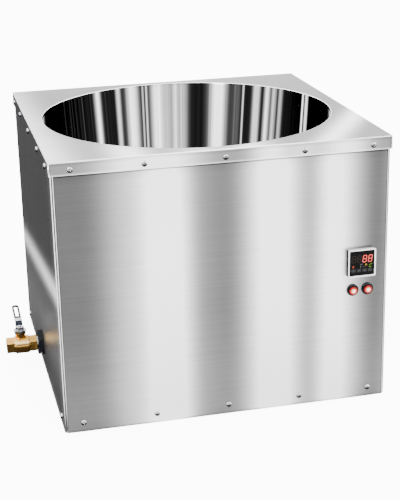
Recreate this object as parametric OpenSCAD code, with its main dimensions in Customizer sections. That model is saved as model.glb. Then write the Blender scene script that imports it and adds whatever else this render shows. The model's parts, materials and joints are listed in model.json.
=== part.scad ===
// Beeswax melter: a round pot hangs in a square sheet-metal cabinet, heated from below
// and around its wall. The controls are on the front and a ball valve is on the left.
// X points to the right, Y to the back and Z up. The origin is the middle of the base.

/* [Cabinet] */
// Width of the top cover, left to right
cover_w = 555; // [545:1:650]
// Depth of the top cover, front to back
cover_d = 540; // [536:1:650]
// Height of the whole cabinet
overall_h = 456; // [400:1:560]
// Sheet thickness of the top cover
cover_t = 1.5; // [1.2:0.1:2]
// Height of the cover's folded skirt
skirt_h = 22; // [20:1:30]
// Outer radius of the cover's folded edges
cover_bend_r = 3; // [2.5:0.1:4]
// Radius of the cover's upright corners
cover_corner_r = 4; // [3:0.5:8]
// Gap between the skirt and the panels inside it
skirt_gap = 1; // [0.6:0.1:2]
// Gap over the panels, below the cover
cover_seat_gap = 0.2; // [0.15:0.05:0.4]
// Sheet thickness of the panels
panel_t = 1.2; // [0.8:0.1:1.5]
// Outer radius of the side panels' folds
panel_bend_r = 2.4; // [2:0.1:3]
// Width of the side panels' folds
fold_w = 18; // [14:1:22]
// Depth of the returned edges of the front and rear panels
return_d = 2.5; // [2.2:0.1:4]
// Outer radius of the returned edges
return_r = 1.8; // [1.6:0.1:2.1]
// Distance from the cabinet's corner to a returned edge
edge_reveal = 3.5; // [3.1:0.1:6]
// Height of the panels' lower edges over the floor
base_reveal = 1; // [0.5:0.1:3]

/* [Base tray] */
// Sheet thickness of the tray
tray_t = 1.5; // [1.2:0.1:2]
// Height of the tray's flanges
tray_flange_h = 30; // [24:1:36]
// Clearance between the tray and the panels around it
tray_gap = 0.2; // [0.1:0.05:0.4]
// Distance from a flange's end to the next fold
tray_notch = 4; // [3:0.5:8]

/* [Screws] */
// Thread diameter of the sheet screws
screw_d = 4; // [3.5:0.1:4.5]
// Length under the head
screw_len = 9; // [7:0.5:9]
// Room kept free beyond a screw's end
screw_room = 1; // [0.6:0.1:2]
// Diameter of the pan head
screw_head_d = 9.5; // [8:0.1:10]
// Height of the pan head
screw_head_h = 2.8; // [2.4:0.1:3.2]
// Radius of the head's dome
screw_dome_r = 6; // [5.2:0.1:9]
// Length of the cross recess
recess_len = 5; // [4:0.1:6]
// Width of the cross recess
recess_w = 1.1; // [0.8:0.1:1.4]
// Depth of the cross recess
recess_depth = 1.6; // [1:0.1:2]
// Distance between the middle screws on each side of the skirt
cover_screw_pitch = 129; // [110:1:140]
// Distance of the skirt's screws below the top
cover_screw_drop = 13.2; // [11:0.1:15]
// Distance from the cover's corner to the first screw
cover_screw_end = 33.5; // [28:0.5:50]
// Screws along the front and the rear of the base
base_screw_n = 5; // [3:1:7]
// Height of the base screws
base_screw_z = 17; // [12:0.5:20]
// Distance from the body's side to the first front base screw
base_screw_end = 31; // [30:1:60]
// Distance from the body's front to the base screws on the sides
side_screw_end = 34; // [28:0.5:60]

/* [Pot] */
// Least distance from the pot's inner wall to the cover's edge
pot_edge = 20; // [19:0.5:40]
// Wall thickness of the pot
pot_t = 1.5; // [1.2:0.1:2]
// Height of the pot's floor over the ground
pot_floor_z = 31; // [30:1:50]
// Inner radius between the pot's wall and floor
pot_corner_r = 5; // [3:0.5:8]
// Outer radius of the turned-down edge of the cover's hole
hole_bend_r = 3; // [2.5:0.1:4]
// Straight drop below that edge
hole_drop = 1; // [0.5:0.1:3]
// Radius of the ring under the pot
support_r = 220; // [190:1:230]
// Sheet thickness of that ring
support_t = 1.5; // [1:0.1:3]

/* [Bottom heater] */
// Radius of the heater plate
heater_r = 160; // [145:1:175]
// Thickness of the heater plate
heater_t = 8; // [6:0.5:9]
// Radius of the clamp plate
clamp_plate_r = 130; // [122:1:134]
// Thickness of the clamp plate
clamp_plate_t = 2; // [1.5:0.1:3]
// Radius at which the pot's studs stand
stud_ring_r = 110; // [90:1:114]
// Number of studs
stud_n = 3; // [3:1:6]
// Diameter of a stud
stud_d = 6; // [5:0.5:6.5]
// Stud nut, across its flats
stud_nut_af = 10; // [9:0.5:11]
// Thickness of a stud nut
stud_nut_t = 5; // [3:0.5:6]
// Heater's terminal tab, as width, depth and height
tab_size = [26, 14, 7];
// Radius of the bottom insulation
bottom_wool_r = 200; // [150:1:205]
// Thickness of the bottom insulation
bottom_wool_t = 11; // [6:0.5:12]

/* [Band heater and insulation] */
// Height of the band heater's lower edge
band_z = 80; // [70:1:100]
// Height of the band
band_h = 80; // [60:1:100]
// Thickness of the band
band_t = 2.5; // [2:0.1:4]
// Opening between the band's ends
band_opening = 16; // [10:1:24]
// Height of the band's terminal box
band_box_h = 22; // [16:1:26]
// Width of the band's terminal box
band_box_w = 30; // [24:1:40]
// Depth of the band's terminal box
band_box_d = 8; // [6:0.5:9]
// Clamp strap, width
strap_w = 20; // [14:1:24]
// Clamp strap, thickness
strap_t = 1; // [0.8:0.1:1.5]
// Reach of the strap's ears
ear_reach = 15; // [12:1:20]
// Sheet thickness of the ears
ear_t = 2; // [1.5:0.1:3]
// Clamp bolt, diameter
strap_bolt_d = 5; // [4:0.5:6]
// Thickness of the side insulation
wool_t = 5.5; // [4:0.5:6]
// Height of the side insulation's lower edge
wool_z = 68; // [66:1:70]
// Distance of the insulation's upper edge below the top
wool_drop = 31; // [30:1:60]
// Width of the window in the insulation for the sensors
window_w = 60; // [50:1:80]

/* [Sensors] */
// Probe, diameter
probe_d = 5; // [4:0.5:6]
// Probe, length
probe_len = 60; // [40:1:80]
// Height of the probe's middle
probe_z = 232; // [225:1:260]
// Probe clip, as width, depth and height
clip_size = [14, 7, 10];
// Height of the thermostat
thermostat_z = 182; // [178:1:186]
// Thermostat, diameter
thermostat_d = 16; // [14:1:18]
// Thermostat, depth
thermostat_depth = 9; // [7:0.5:10]
// Thermostat flange, length
thermostat_flange = 24; // [20:1:30]

/* [Electronics] */
// Gap between the side insulation and the shield
shield_gap = 12; // [10:1:14]
// Sheet thickness of the shield
shield_t = 1.2; // [0.8:0.1:1.5]
// Height of the shield
shield_h = 320; // [280:1:360]
// Width of the shield's feet
shield_foot_w = 14; // [10:1:18]
// Wire opening at the shield's foot, width and height
wire_way = [44, 24];
// Distance from the front of the body to the heat sink
sink_front = 20; // [18:1:24]
// Heat sink, depth in Y
sink_d = 50; // [45:1:54]
// Heat sink, height in Z
sink_h = 80; // [64:1:90]
// Height of the heat sink's lower edge
sink_z = 40; // [34:1:60]
// Length of its fins
fin_len = 16; // [10:1:18]
// Number of fins
fin_n = 7; // [5:1:9]
// Thickness of a fin
fin_t = 1.6; // [1.2:0.1:2.5]
// Thickness of the heat sink's base
sink_base_t = 4; // [3:0.5:5]
// Relay, as depth in X, width in Y and height in Z
relay_size = [22, 44, 58];
// Terminal block, as width, depth and height
block_size = [60, 20, 20];
// Distance from the front panel to the terminal block
block_front = 12; // [11:1:16]
// Diameter of the wires
wire_d = 3.5; // [2.5:0.1:4]

/* [Controller] */
// Height of the controller's middle
control_z = 246; // [240:1:300]
// Distance from the body's right side to the controller's middle
control_edge = 48.4; // [44:0.1:60]
// Width and height of the bezel
bezel_w = 48; // [47.5:0.1:49]
// Thickness of the bezel's light rim
bezel_t = 2; // [1.5:0.1:3]
// Width of the rim
rim_w = 2.4; // [2:0.1:3]
// Corner radius of the bezel
bezel_r = 2.5; // [1.5:0.1:3.5]
// Height of the black collar between the panel and the rim
collar_t = 7; // [4:0.5:9]
// How far the collar stands inside the bezel's outline
collar_inset = 0.4; // [0.2:0.1:0.6]
// Outer width of the case behind the panel
case_w = 44.8; // [44:0.1:45]
// Depth of the case behind the panel's face
case_depth = 66; // [50:1:72]
// Wall thickness of the case
case_wall = 1.9; // [1.5:0.1:2.2]
// Thickness of the black face
face_t = 1.5; // [1.2:0.1:1.8]
// Thickness of the circuit board
board_t = 1.6; // [1:0.1:2]
// Depth of the mounting clamp
clamp_depth = 8; // [6:0.5:12]
// Width of the mounting clamp's frame
clamp_rim = 3.4; // [3:0.1:4]
// Number of keys
key_n = 4; // [4:1:4]
// Key, width
key_w = 7.6; // [6:0.1:8]
// Key, height
key_h = 5.6; // [3.5:0.1:6]
// Distance between the keys' middles
key_pitch = 9.6; // [9.2:0.1:9.8]
// Height of the keys' middle over the bezel's lower edge
key_rise = 11.2; // [9:0.1:12]
// How far the keys stand out of the face
key_proud = 0.6; // [0.4:0.1:0.9]
// Travel of a key
key_travel = 0.4; // [0.3:0.05:0.5]

/* [Switches] */
// Distance between the two switches
switch_pitch = 25.7; // [25:0.1:30]
// Distance of the switches below the controller's middle
switch_drop = 48.4; // [42:0.1:60]
// Bezel, diameter
switch_bezel_d = 20.2; // [19.4:0.1:23]
// Bezel, height over the panel
switch_bezel_h = 3.6; // [3:0.1:5]
// Chamfer at the bezel's front
switch_chamfer = 1.2; // [0.8:0.1:1.8]
// Barrel, diameter
barrel_d = 18; // [17.4:0.1:18.6]
// Barrel, length behind the panel's face
barrel_len = 28; // [24:1:34]
// Button, diameter
button_d = 15.2; // [14:0.1:15.6]
// Height of the button's edge over the panel's face
button_rise = 5.4; // [2.6:0.1:6]
// Height of the button's dome
button_dome = 2.2; // [1.2:0.1:2.4]
// Length of the button behind the panel's face
button_depth = 8; // [6:0.5:10]
// Travel of the button
button_travel = 2.5; // [1.5:0.1:3]
// Switch nut, diameter
switch_nut_d = 23.6; // [22:0.1:24]
// Switch nut, thickness
switch_nut_t = 4; // [3:0.5:5]

/* [Cable gland] */
// Distance from the body's right side to the gland
gland_edge = 60; // [50:1:90]
// Height of the gland
gland_z = 60; // [50:1:90]
// Diameter of the gland's thread through the panel
gland_thread_d = 20; // [19:0.1:21]
// Length of the gland's thread behind the panel's face
gland_thread_len = 10; // [8:0.5:12]
// Gland's hexagon, across its flats
gland_hex_af = 24; // [23.5:0.1:26]
// Gland's hexagon, length
gland_hex_len = 5; // [4:0.5:7]
// Cap, across its flats
gland_cap_af = 22; // [21.5:0.1:23]
// Cap, length
gland_cap_len = 17; // [16:0.5:20]
// Bore of the seal
cord_d = 10; // [7:0.1:10.5]
// Outer diameter of the seal
gland_seal_d = 13; // [12.6:0.1:13.4]
// Length of the seal
gland_seal_len = 14; // [12:0.5:15]
// Outer diameter of the sleeve that holds the seal
gland_sleeve_d = 17; // [16:0.1:18]
// Thickness of the gland's lock nut
gland_nut_t = 5; // [4:0.5:6]
// Number of vent slots in the rear panel
vent_n = 6; // [4:1:9]
// Distance between the vent slots
vent_pitch = 12; // [10:1:14]
// Vent slot, length
vent_len = 50; // [30:1:60]
// Vent slot, width
vent_w = 4; // [3:0.5:5]
// Height of the lowest vent slot
vent_z = 110; // [100:1:160]

/* [Outlet] */
// Distance of the outlet's axis behind the middle
outlet_y = 13; // [0:1:30]
// Height of the outlet's axis over the pot's floor
outlet_rise = 16; // [15:0.5:17]
// Outlet pipe, diameter
pipe_d = 21.3; // [20.5:0.1:22]
// Outlet pipe, bore
pipe_bore = 16; // [14:0.1:17]
// Pipe's end in the valve, diameter
pipe_thread_d = 20.9; // [20:0.1:21]
// Pipe's end in the valve, length
pipe_thread_len = 11; // [9:0.5:11.5]
// Pipe shown between the lock nut and the valve
pipe_show = 1.5; // [1:0.1:4]
// Hole in the left panel, diameter
panel_hole_d = 24; // [23:0.5:28]
// Seal washer, diameter
seal_d = 46; // [40:1:50]
// Seal washer, thickness
seal_t = 2.5; // [1.5:0.1:4]
// Lock nut, across its flats
locknut_af = 41; // [36:0.5:44]
// Lock nut, thickness
locknut_t = 7.5; // [6:0.5:10]

/* [Ball valve] */
// Distance from the ball's middle to the outlet
outlet_half = 25.5; // [25:0.5:28]
// Distance from the ball's middle to the valve's end at the pipe
inlet_half = 28.5; // [28:0.5:31]
// Length of each hexagon end
hex_len = 12.6; // [12:0.1:13]
// Hexagon at the outlet, across its flats
outlet_hex_af = 26.5; // [25.5:0.1:28]
// Hexagon at the end piece, across its flats
end_hex_af = 27; // [26:0.1:28]
// Barrel, diameter
valve_barrel_d = 32.5; // [31.5:0.1:36]
// Step of the barrel's shoulders
barrel_chamfer = 2.4; // [1.5:0.1:2.6]
// Length of the shoulder at the outlet
shoulder_len = 5; // [3:0.5:6]
// Threaded socket at the outlet, core diameter
outlet_thread_d = 18.6; // [18:0.1:19]
// Threaded socket at the outlet, depth
outlet_thread_len = 13; // [11:0.5:13]
// Port through the ball and both ends
port_d = 13; // [11:0.1:13.6]
// Ball, diameter
ball_d = 22; // [21.4:0.1:22.6]
// Chamber round the ball, diameter
chamber_d = 25.2; // [24.6:0.1:26]
// Half length of the chamber round the ball
chamber_half = 11.5; // [11.4:0.1:11.8]
// Distance from the ball's middle to a seat's inner face
seat_in = 7; // [6.6:0.1:7.4]
// Groove between the barrel and the end piece
valve_groove = 0.8; // [0.4:0.1:1.2]
// Neck of the bonnet, diameter
bonnet_neck_d = 15; // [14.4:0.1:17]
// Height at which the bonnet starts to widen
bonnet_cone_z = 12; // [10:0.5:13]
// Top of the bonnet, diameter
bonnet_top_d = 20; // [19:0.1:20.4]
// Height of the bonnet over the valve's axis
bonnet_h = 26; // [25.5:0.1:28]
// Height of the bonnet's wide top
bonnet_rim_h = 3; // [2.5:0.1:4]
// Depth of the cup for the stem packing
packing_cup_h = 9; // [8:0.1:9.4]
// Diameter of that cup
packing_cup_d = 14.2; // [13.6:0.1:14.6]
// Height of the stem packing
packing_h = 2.8; // [2:0.1:3.5]
// Stem, diameter
stem_d = 9; // [8:0.1:9.4]
// Stem blade in the ball, as length and width
blade_size = [8, 3];
// Depth of the blade in the ball
blade_depth = 2.7; // [2:0.1:3]
// Square that turns the stem, width
stem_square = 6; // [5.4:0.1:6.2]
// Stem's threaded end, diameter
stem_thread_d = 5.8; // [5:0.1:6]
// Stem's length over the lever nut
stem_show = 1.2; // [0.5:0.1:2]

/* [Lever] */
// Thickness of the lever
lever_t = 2.4; // [2:0.1:3]
// Hub, diameter
hub_d = 22; // [21:0.5:25]
// Width of the lever
lever_w = 13; // [11:0.5:14]
// Ramp, length and rise
ramp_size = [8, 11];
// Flat between the ramp and the grip
lever_flat = 12; // [8:1:16]
// Grip, length and rise
grip_size = [50, 6.5];
// Slot in the grip, length
slot_len = 38; // [20:1:38]
// Slot in the grip, width
slot_w = 5.6; // [4:0.1:6]
// Distance from the grip's end to the slot
slot_end = 5; // [4:0.5:8]
// Lever nut, across its flats
lever_nut_af = 13; // [11:0.5:14]
// Lever nut, height
lever_nut_h = 6; // [5:0.5:7]
// Stop lug, width
stop_w = 3; // [2.5:0.1:3.4]
// Stop lug, height
stop_h = 2.8; // [2.4:0.1:3]
// Swing of the lever between its stops, in degrees
lever_swing = 90; // [90:1:90]
// Free angle between a lug and the lever's tab, in degrees
stop_play = 2; // [1.5:0.1:3]

/* [Fits] */
// Clearance between a moving piece and its guide, on each side
slide_gap = 0.15; // [0.1:0.01:0.2]
// Radial clearance of a turning shaft
running_gap = 0.05; // [0.03:0.01:0.08]
// Clearance round a piece fixed in a hole
fixed_gap = 0.1; // [0.05:0.01:0.2]
// Clearance of a curved seat
seat_gap = 0.3; // [0.2:0.05:0.4]

/* [Hidden] */
$fn = 180;

// Small overlap that lets a cut pass a face
eps = 1;

body_w = cover_w - 2 * (cover_t + skirt_gap);
body_d = cover_d - 2 * (cover_t + skirt_gap);
side_x = body_w / 2;
front_y = -body_d / 2;
rear_y = body_d / 2;
frame_d = body_d - 2 * return_d;
panel_top_z = overall_h - cover_t - cover_seat_gap;
panel_h = panel_top_z - base_reveal;
cover_screw_z = overall_h - cover_screw_drop;
screw_r = screw_d / 2;
screw_reach = screw_len + screw_room;

pot_d = min(cover_w, cover_d) - 2 * pot_edge;
pot_r = pot_d / 2;
pot_out_r = pot_r + pot_t;
pot_top_z = overall_h - hole_bend_r - hole_drop;
pot_under_z = pot_floor_z - pot_t;
heater_z = pot_under_z - heater_t;
clamp_plate_z = heater_z - clamp_plate_t;
stud_nut_z = clamp_plate_z - stud_nut_t;

band_in_r = pot_out_r + fixed_gap;
band_out_r = band_in_r + band_t;
strap_in_r = band_out_r + fixed_gap;
strap_out_r = strap_in_r + strap_t;
strap_z = band_z + (band_h - band_box_h - strap_w) / 2;
band_box_z = band_z + band_h - band_box_h;
wool_in_r = strap_out_r + seat_gap;
wool_out_r = wool_in_r + wool_t;
wool_top_z = overall_h - wool_drop;
shield_r = wool_out_r + shield_gap;
shield_out_r = shield_r + shield_t;
diagonal = sqrt(2);

control_x = side_x - control_edge;
control_rim_y = front_y - collar_t - bezel_t;
face_y = front_y - collar_t;
face_back_y = face_y + face_t;
case_back_y = front_y + case_depth;
case_in_w = case_w - 2 * case_wall;
face_w = bezel_w - 2 * collar_inset - 2 * case_wall + 2 * fixed_gap;
cutout_w = case_w + 2 * fixed_gap;
key_z = control_z - bezel_w / 2 + key_rise;
key_collar = 0.5;
key_collar_y = face_back_y + seat_gap;
key_collar_t = 1;
board_y = key_collar_y + key_collar_t + key_travel + 2 * seat_gap;
switch_z = control_z - switch_drop;
switch_back_y = front_y + barrel_len;

gland_x = side_x - gland_edge;

sink_y = front_y + sink_front;
sink_x = side_x - panel_t - fin_len - sink_base_t;
relay_x = sink_x - relay_size.x;
relay_y = sink_y + (sink_d - relay_size.y) / 2;
relay_z = sink_z + (sink_h - relay_size.z) / 2;
block_y = front_y + block_front;
block_x = control_x - block_size.x / 2 - 12;

outlet_z = pot_floor_z + outlet_rise;
pipe_r = pipe_d / 2;
seal_x = -side_x - seal_t;
locknut_x = seal_x - locknut_t;
valve_right_x = locknut_x - pipe_show;
ball_x = valve_right_x - inlet_half;
inlet_hex_in = inlet_half - hex_len;
outlet_hex_in = outlet_half - hex_len;
ball_r = ball_d / 2;
stem_r = stem_d / 2;
lever_z = bonnet_h + seat_gap + fixed_gap;
lever_top_z = lever_z + lever_t;
stem_top_z = lever_top_z + lever_nut_h + stem_show;
stop_r = bonnet_top_d / 2 + seat_gap;

// Places along a row that is centred on zero
function row(n, half) = [for (i = [0:n - 1]) half * (2 * i / (n - 1) - 1)];

// Places of the cover's screws, whose end spaces are the shorter ones
function close_row(half) = [-half, -cover_screw_pitch, 0, cover_screw_pitch, half];

// Point on the diagonal to the front right corner: distance out, distance across, height
function diagonal_point(out, across, z) = [(out + across) / diagonal, (across - out) / diagonal, z];

cover_row_x = close_row(cover_w / 2 - cover_screw_end);
cover_row_y = close_row(cover_d / 2 - cover_screw_end);
base_row_x = row(base_screw_n, side_x - base_screw_end);
side_row_y = row(2, body_d / 2 - side_screw_end);

// Shapes that repeat

module rounded_plate(w, d, r) {
    square([w - 2 * r, d], center = true);
    square([w, d - 2 * r], center = true);
    for (x = [-1, 1], y = [-1, 1])
        translate([x * (w / 2 - r), y * (d / 2 - r)])
            circle(r);
}

module ring(r_out, r_in, h) {
    difference() {
        cylinder(r = r_out, h = h);
        translate([0, 0, -eps])
            cylinder(r = r_in, h = h + 2 * eps);
    }
}

// Hexagon prism whose corners are taken off by a cone at each end
module hexagon(af, h, chamfer = 0.8) {
    intersection() {
        cylinder(d = af / cos(30), h = h, $fn = 6);
        rotate_extrude()
            polygon([[0, 0], [af / 2 + chamfer / 2, 0], [af / cos(30) / 2 + 0.1, chamfer],
                     [af / cos(30) / 2 + 0.1, h - chamfer], [af / 2 + chamfer / 2, h], [0, h]]);
    }
}

// Turns a shape that is built upwards so that it points along the named side
module toward_front() { rotate([90, 0, 0]) children(); }
module toward_rear() { rotate([-90, 0, 0]) children(); }
module toward_left() { rotate([0, -90, 0]) children(); }
module toward_right() { rotate([0, 90, 0]) children(); }

// Moves to the diagonal of the front right corner: X points out to the corner
module on_corner_diagonal() { rotate([0, 0, -45]) children(); }

// Pan-head screw that points down from its head's underside
module pan_screw() {
    translate([0, 0, -screw_len])
        cylinder(r = screw_r, h = screw_len);
    difference() {
        intersection() {
            cylinder(d = screw_head_d, h = screw_head_h);
            translate([0, 0, screw_head_h - screw_dome_r])
                sphere(screw_dome_r);
        }
        for (turn = [0, 90])
            rotate([0, 0, turn])
                translate([-recess_len / 2, -recess_w / 2, screw_head_h - recess_depth])
                    cube([recess_len, recess_w, recess_depth + eps]);
    }
}

// One child at each place of the cover's screws, pointing outwards
module at_cover_screws(sides = ["front", "rear", "left", "right"]) {
    for (side = sides) {
        if (side == "front")
            for (x = cover_row_x)
                translate([x, -cover_d / 2, cover_screw_z]) toward_front() children();
        if (side == "rear")
            for (x = cover_row_x)
                translate([x, cover_d / 2, cover_screw_z]) toward_rear() children();
        if (side == "left")
            for (y = cover_row_y)
                translate([-cover_w / 2, y, cover_screw_z]) toward_left() children();
        if (side == "right")
            for (y = cover_row_y)
                translate([cover_w / 2, y, cover_screw_z]) toward_right() children();
    }
}

// One child at each place of the base's screws, pointing outwards
module at_base_screws(sides = ["front", "rear", "left", "right"]) {
    for (side = sides) {
        if (side == "front")
            for (x = base_row_x)
                translate([x, front_y, base_screw_z]) toward_front() children();
        if (side == "rear")
            for (x = base_row_x)
                translate([x, rear_y, base_screw_z]) toward_rear() children();
        if (side == "left")
            for (y = side_row_y)
                translate([-side_x, y, base_screw_z]) toward_left() children();
        if (side == "right")
            for (y = side_row_y)
                translate([side_x, y, base_screw_z]) toward_right() children();
    }
}

// Hole along the screw's line
module screw_hole(gap) {
    translate([0, 0, -screw_len])
        cylinder(r = screw_r + gap, h = screw_len + screw_head_h);
}

// Wires: a round tube swept along a route whose corners are cut off

function unit(v) = v / norm(v);

function cut_corners(p) = concat(
    [p[0]],
    [for (i = [0:len(p) - 2]) each [0.75 * p[i] + 0.25 * p[i + 1], 0.25 * p[i] + 0.75 * p[i + 1]]],
    [p[len(p) - 1]]);

function heading(p, i) = unit(p[min(i + 1, len(p) - 1)] - p[max(i - 1, 0)]);

function side_vector(p, i) = i == 0
    ? unit(cross(heading(p, 0), [0.31, 0.52, 0.79]))
    : let (t = heading(p, i), u = side_vector(p, i - 1)) unit(u - (u * t) * t);

module wire(route) {
    sides = 8;
    p = cut_corners(cut_corners(route));
    points = [for (i = [0:len(p) - 1])
        let (u = side_vector(p, i), v = cross(heading(p, i), u))
            for (k = [0:sides - 1])
                p[i] + wire_d / 2 * (cos(360 * k / sides) * u + sin(360 * k / sides) * v)];
    walls = [for (i = [0:len(p) - 2], k = [0:sides - 1])
        let (a = i * sides + k, b = i * sides + (k + 1) % sides)
            each [[a, a + sides, b], [b, a + sides, b + sides]]];
    first = [for (k = [0:sides - 1]) k];
    last = [for (k = [sides - 1:-1:0]) (len(p) - 1) * sides + k];
    polyhedron(points, concat(walls, [first], [last]), convexity = 10);
}

// Cabinet

module base_tray() {
    color("silver")
        difference() {
            union() {
                linear_extrude(tray_t) tray_outline();
                tray_flanges();
            }
            at_base_screws() screw_hole(running_gap);
        }
}

tray_w = body_w - 2 * panel_t - 2 * tray_gap;
tray_d = frame_d - 2 * panel_t - 2 * tray_gap;
tray_long_w = body_w - 2 * fold_w - 2 * tray_notch;
tray_long_d = body_d - 2 * panel_t - 2 * tray_gap;

module tray_outline() {
    rounded_plate(tray_w, tray_d, panel_bend_r);
    square([tray_long_w, tray_long_d], center = true);
}

module tray_flanges() {
    for (y = [-1, 1])
        translate([0, y * (tray_long_d - tray_t) / 2, tray_flange_h / 2])
            cube([tray_long_w, tray_t, tray_flange_h], center = true);
    for (x = [-1, 1])
        translate([x * (tray_w - tray_t) / 2, 0, tray_flange_h / 2])
            cube([tray_t, tray_d - 2 * tray_notch, tray_flange_h], center = true);
}

// Flat sheet with its left and right edges returned, upright with its face to the front
module returned_sheet() {
    w = body_w - 2 * edge_reveal;
    deep = 4 * return_d;
    translate([0, front_y, base_reveal])
        linear_extrude(panel_h)
            intersection() {
                difference() {
                    translate([0, deep / 2])
                        rounded_plate(w, deep, return_r);
                    translate([0, deep / 2])
                        rounded_plate(w - 2 * panel_t, deep - 2 * panel_t, return_r - panel_t);
                }
                translate([-w / 2, 0])
                    square([w, return_d]);
            }
}

module front_panel() {
    color("gainsboro")
        difference() {
            returned_sheet();
            at_cover_screws(["front"]) screw_hole(running_gap);
            at_base_screws(["front"]) screw_hole(fixed_gap);
            translate([control_x, front_y, control_z])
                cube([cutout_w, 2 * return_d, cutout_w], center = true);
            for (side = [-1, 1])
                switch_place(side)
                    translate([0, 0, -return_d])
                        cylinder(d = barrel_d + 2 * fixed_gap, h = 2 * return_d);
        }
}

module rear_panel() {
    color("silver")
        difference() {
            rotate([0, 0, 180]) returned_sheet();
            at_cover_screws(["rear"]) screw_hole(running_gap);
            at_base_screws(["rear"]) screw_hole(fixed_gap);
            gland_place()
                translate([0, 0, -return_d])
                    cylinder(d = gland_thread_d + 2 * fixed_gap, h = 2 * return_d);
            for (i = [0:vent_n - 1])
                translate([gland_x, rear_y, vent_z + i * vent_pitch])
                    vent_slot();
        }
}

module vent_slot() {
    cube([vent_len - vent_w, 2 * return_d, vent_w], center = true);
    for (x = [-1, 1])
        translate([x * (vent_len - vent_w) / 2, 0, 0])
            toward_rear()
                cylinder(d = vent_w, h = 2 * return_d, center = true);
}

// Side panel with a fold at its front and its rear, for the left side
module folded_sheet() {
    translate([0, 0, base_reveal])
        linear_extrude(panel_h)
            intersection() {
                difference() {
                    rounded_plate(body_w, frame_d, panel_bend_r);
                    rounded_plate(body_w - 2 * panel_t, frame_d - 2 * panel_t, panel_bend_r - panel_t);
                }
                translate([-side_x, -frame_d / 2])
                    square([fold_w, frame_d]);
            }
}

module left_panel() {
    color("darkgray")
        difference() {
            folded_sheet();
            at_cover_screws(["left"]) screw_hole(running_gap);
            at_base_screws(["left"]) screw_hole(fixed_gap);
            translate([-side_x - eps, outlet_y, outlet_z])
                toward_right()
                    cylinder(d = panel_hole_d, h = panel_t + 2 * eps);
        }
}

module right_panel() {
    color("darkgray")
        difference() {
            mirror([1, 0, 0]) folded_sheet();
            at_cover_screws(["right"]) screw_hole(running_gap);
            at_base_screws(["right"]) screw_hole(fixed_gap);
        }
}

// Block whose upright corners and whose upper edges are rounded
module cover_block(w, d, corner_r, bend_r, low, high) {
    h = high - low;
    tall = 2 * h;
    intersection() {
        translate([0, 0, low])
            linear_extrude(h) rounded_plate(w, d, corner_r);
        translate([0, d / 2 + eps, high - tall / 2])
            rotate([90, 0, 0])
                linear_extrude(d + 2 * eps) rounded_plate(w, tall, bend_r);
        translate([-w / 2 - eps, 0, high - tall / 2])
            rotate([90, 0, 90])
                linear_extrude(w + 2 * eps) rounded_plate(d, tall, bend_r);
    }
}

module top_cover() {
    skirt_z = overall_h - skirt_h;
    bend_in_r = hole_bend_r - cover_t;
    color("gainsboro") {
        difference() {
            cover_block(cover_w, cover_d, cover_corner_r, cover_bend_r, skirt_z, overall_h);
            cover_block(cover_w - 2 * cover_t, cover_d - 2 * cover_t, cover_corner_r - cover_t,
                        cover_bend_r - cover_t, skirt_z - skirt_h, overall_h - cover_t);
            translate([0, 0, skirt_z])
                cylinder(r = pot_r + hole_bend_r, h = skirt_h + eps);
            at_cover_screws() screw_hole(fixed_gap);
        }
        rotate_extrude() {
            translate([pot_r + hole_bend_r, overall_h - hole_bend_r])
                intersection() {
                    difference() {
                        circle(hole_bend_r);
                        circle(bend_in_r);
                    }
                    translate([-hole_bend_r, 0])
                        square([hole_bend_r, hole_bend_r]);
                }
            translate([pot_r, pot_top_z])
                square([cover_t, hole_drop]);
        }
    }
}

// Pot and its supports

// Half section of a round vessel: its outline from the axis to its wall
module vessel_section(r, low, high, corner_r) {
    translate([0, low])
        square([r - corner_r, high - low]);
    translate([0, low + corner_r])
        square([r, high - low - corner_r]);
    translate([r - corner_r, low + corner_r])
        circle(corner_r);
}

module melting_pot() {
    color("whitesmoke") {
        difference() {
            rotate_extrude()
                difference() {
                    vessel_section(pot_out_r, pot_under_z, pot_top_z, pot_corner_r + pot_t);
                    vessel_section(pot_r, pot_floor_z, pot_top_z + eps, pot_corner_r);
                }
            translate([-pot_r - pot_t - eps, outlet_y, outlet_z])
                toward_right()
                    cylinder(r = pipe_r + running_gap, h = pot_r / 4);
        }
        at_studs()
            translate([0, 0, stud_nut_z - eps])
                cylinder(d = stud_d, h = pot_under_z - stud_nut_z + eps);
    }
}

module at_studs() {
    for (i = [0:stud_n - 1])
        rotate([0, 0, 360 * i / stud_n + 15])
            translate([stud_ring_r, 0, 0]) children();
}

module support_ring() {
    color("gray")
        difference() {
            translate([0, 0, tray_t])
                ring(support_r + support_t, support_r, pot_under_z - tray_t);
            on_corner_diagonal()
                translate([support_r - eps, -wire_way.x / 2, pot_under_z / 3])
                    cube([support_t + 2 * eps, wire_way.x, pot_under_z / 2]);
        }
}

module bottom_heater() {
    color("dimgray") {
        difference() {
            translate([0, 0, heater_z])
                cylinder(r = heater_r, h = heater_t);
            at_studs()
                translate([0, 0, heater_z - eps])
                    cylinder(d = stud_d + 4 * fixed_gap, h = heater_t + 2 * eps);
        }
        on_corner_diagonal()
            translate([heater_r - tab_size.y - 2, -tab_size.x / 2, heater_z - tab_size.z])
                cube([tab_size.y, tab_size.x, tab_size.z]);
    }
}

module heater_clamp() {
    color("silver")
        difference() {
            translate([0, 0, clamp_plate_z])
                cylinder(r = clamp_plate_r, h = clamp_plate_t);
            at_studs()
                translate([0, 0, clamp_plate_z - eps])
                    cylinder(d = stud_d + 4 * fixed_gap, h = clamp_plate_t + 2 * eps);
        }
}

module heater_nuts() {
    color("silver")
        at_studs()
            translate([0, 0, stud_nut_z])
                difference() {
                    hexagon(stud_nut_af, stud_nut_t);
                    translate([0, 0, -eps])
                        cylinder(r = stud_d / 2 + running_gap, h = stud_nut_t + 2 * eps);
                }
}

module bottom_insulation() {
    color("beige")
        translate([0, 0, tray_t])
            cylinder(r = bottom_wool_r, h = bottom_wool_t);
}

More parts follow.
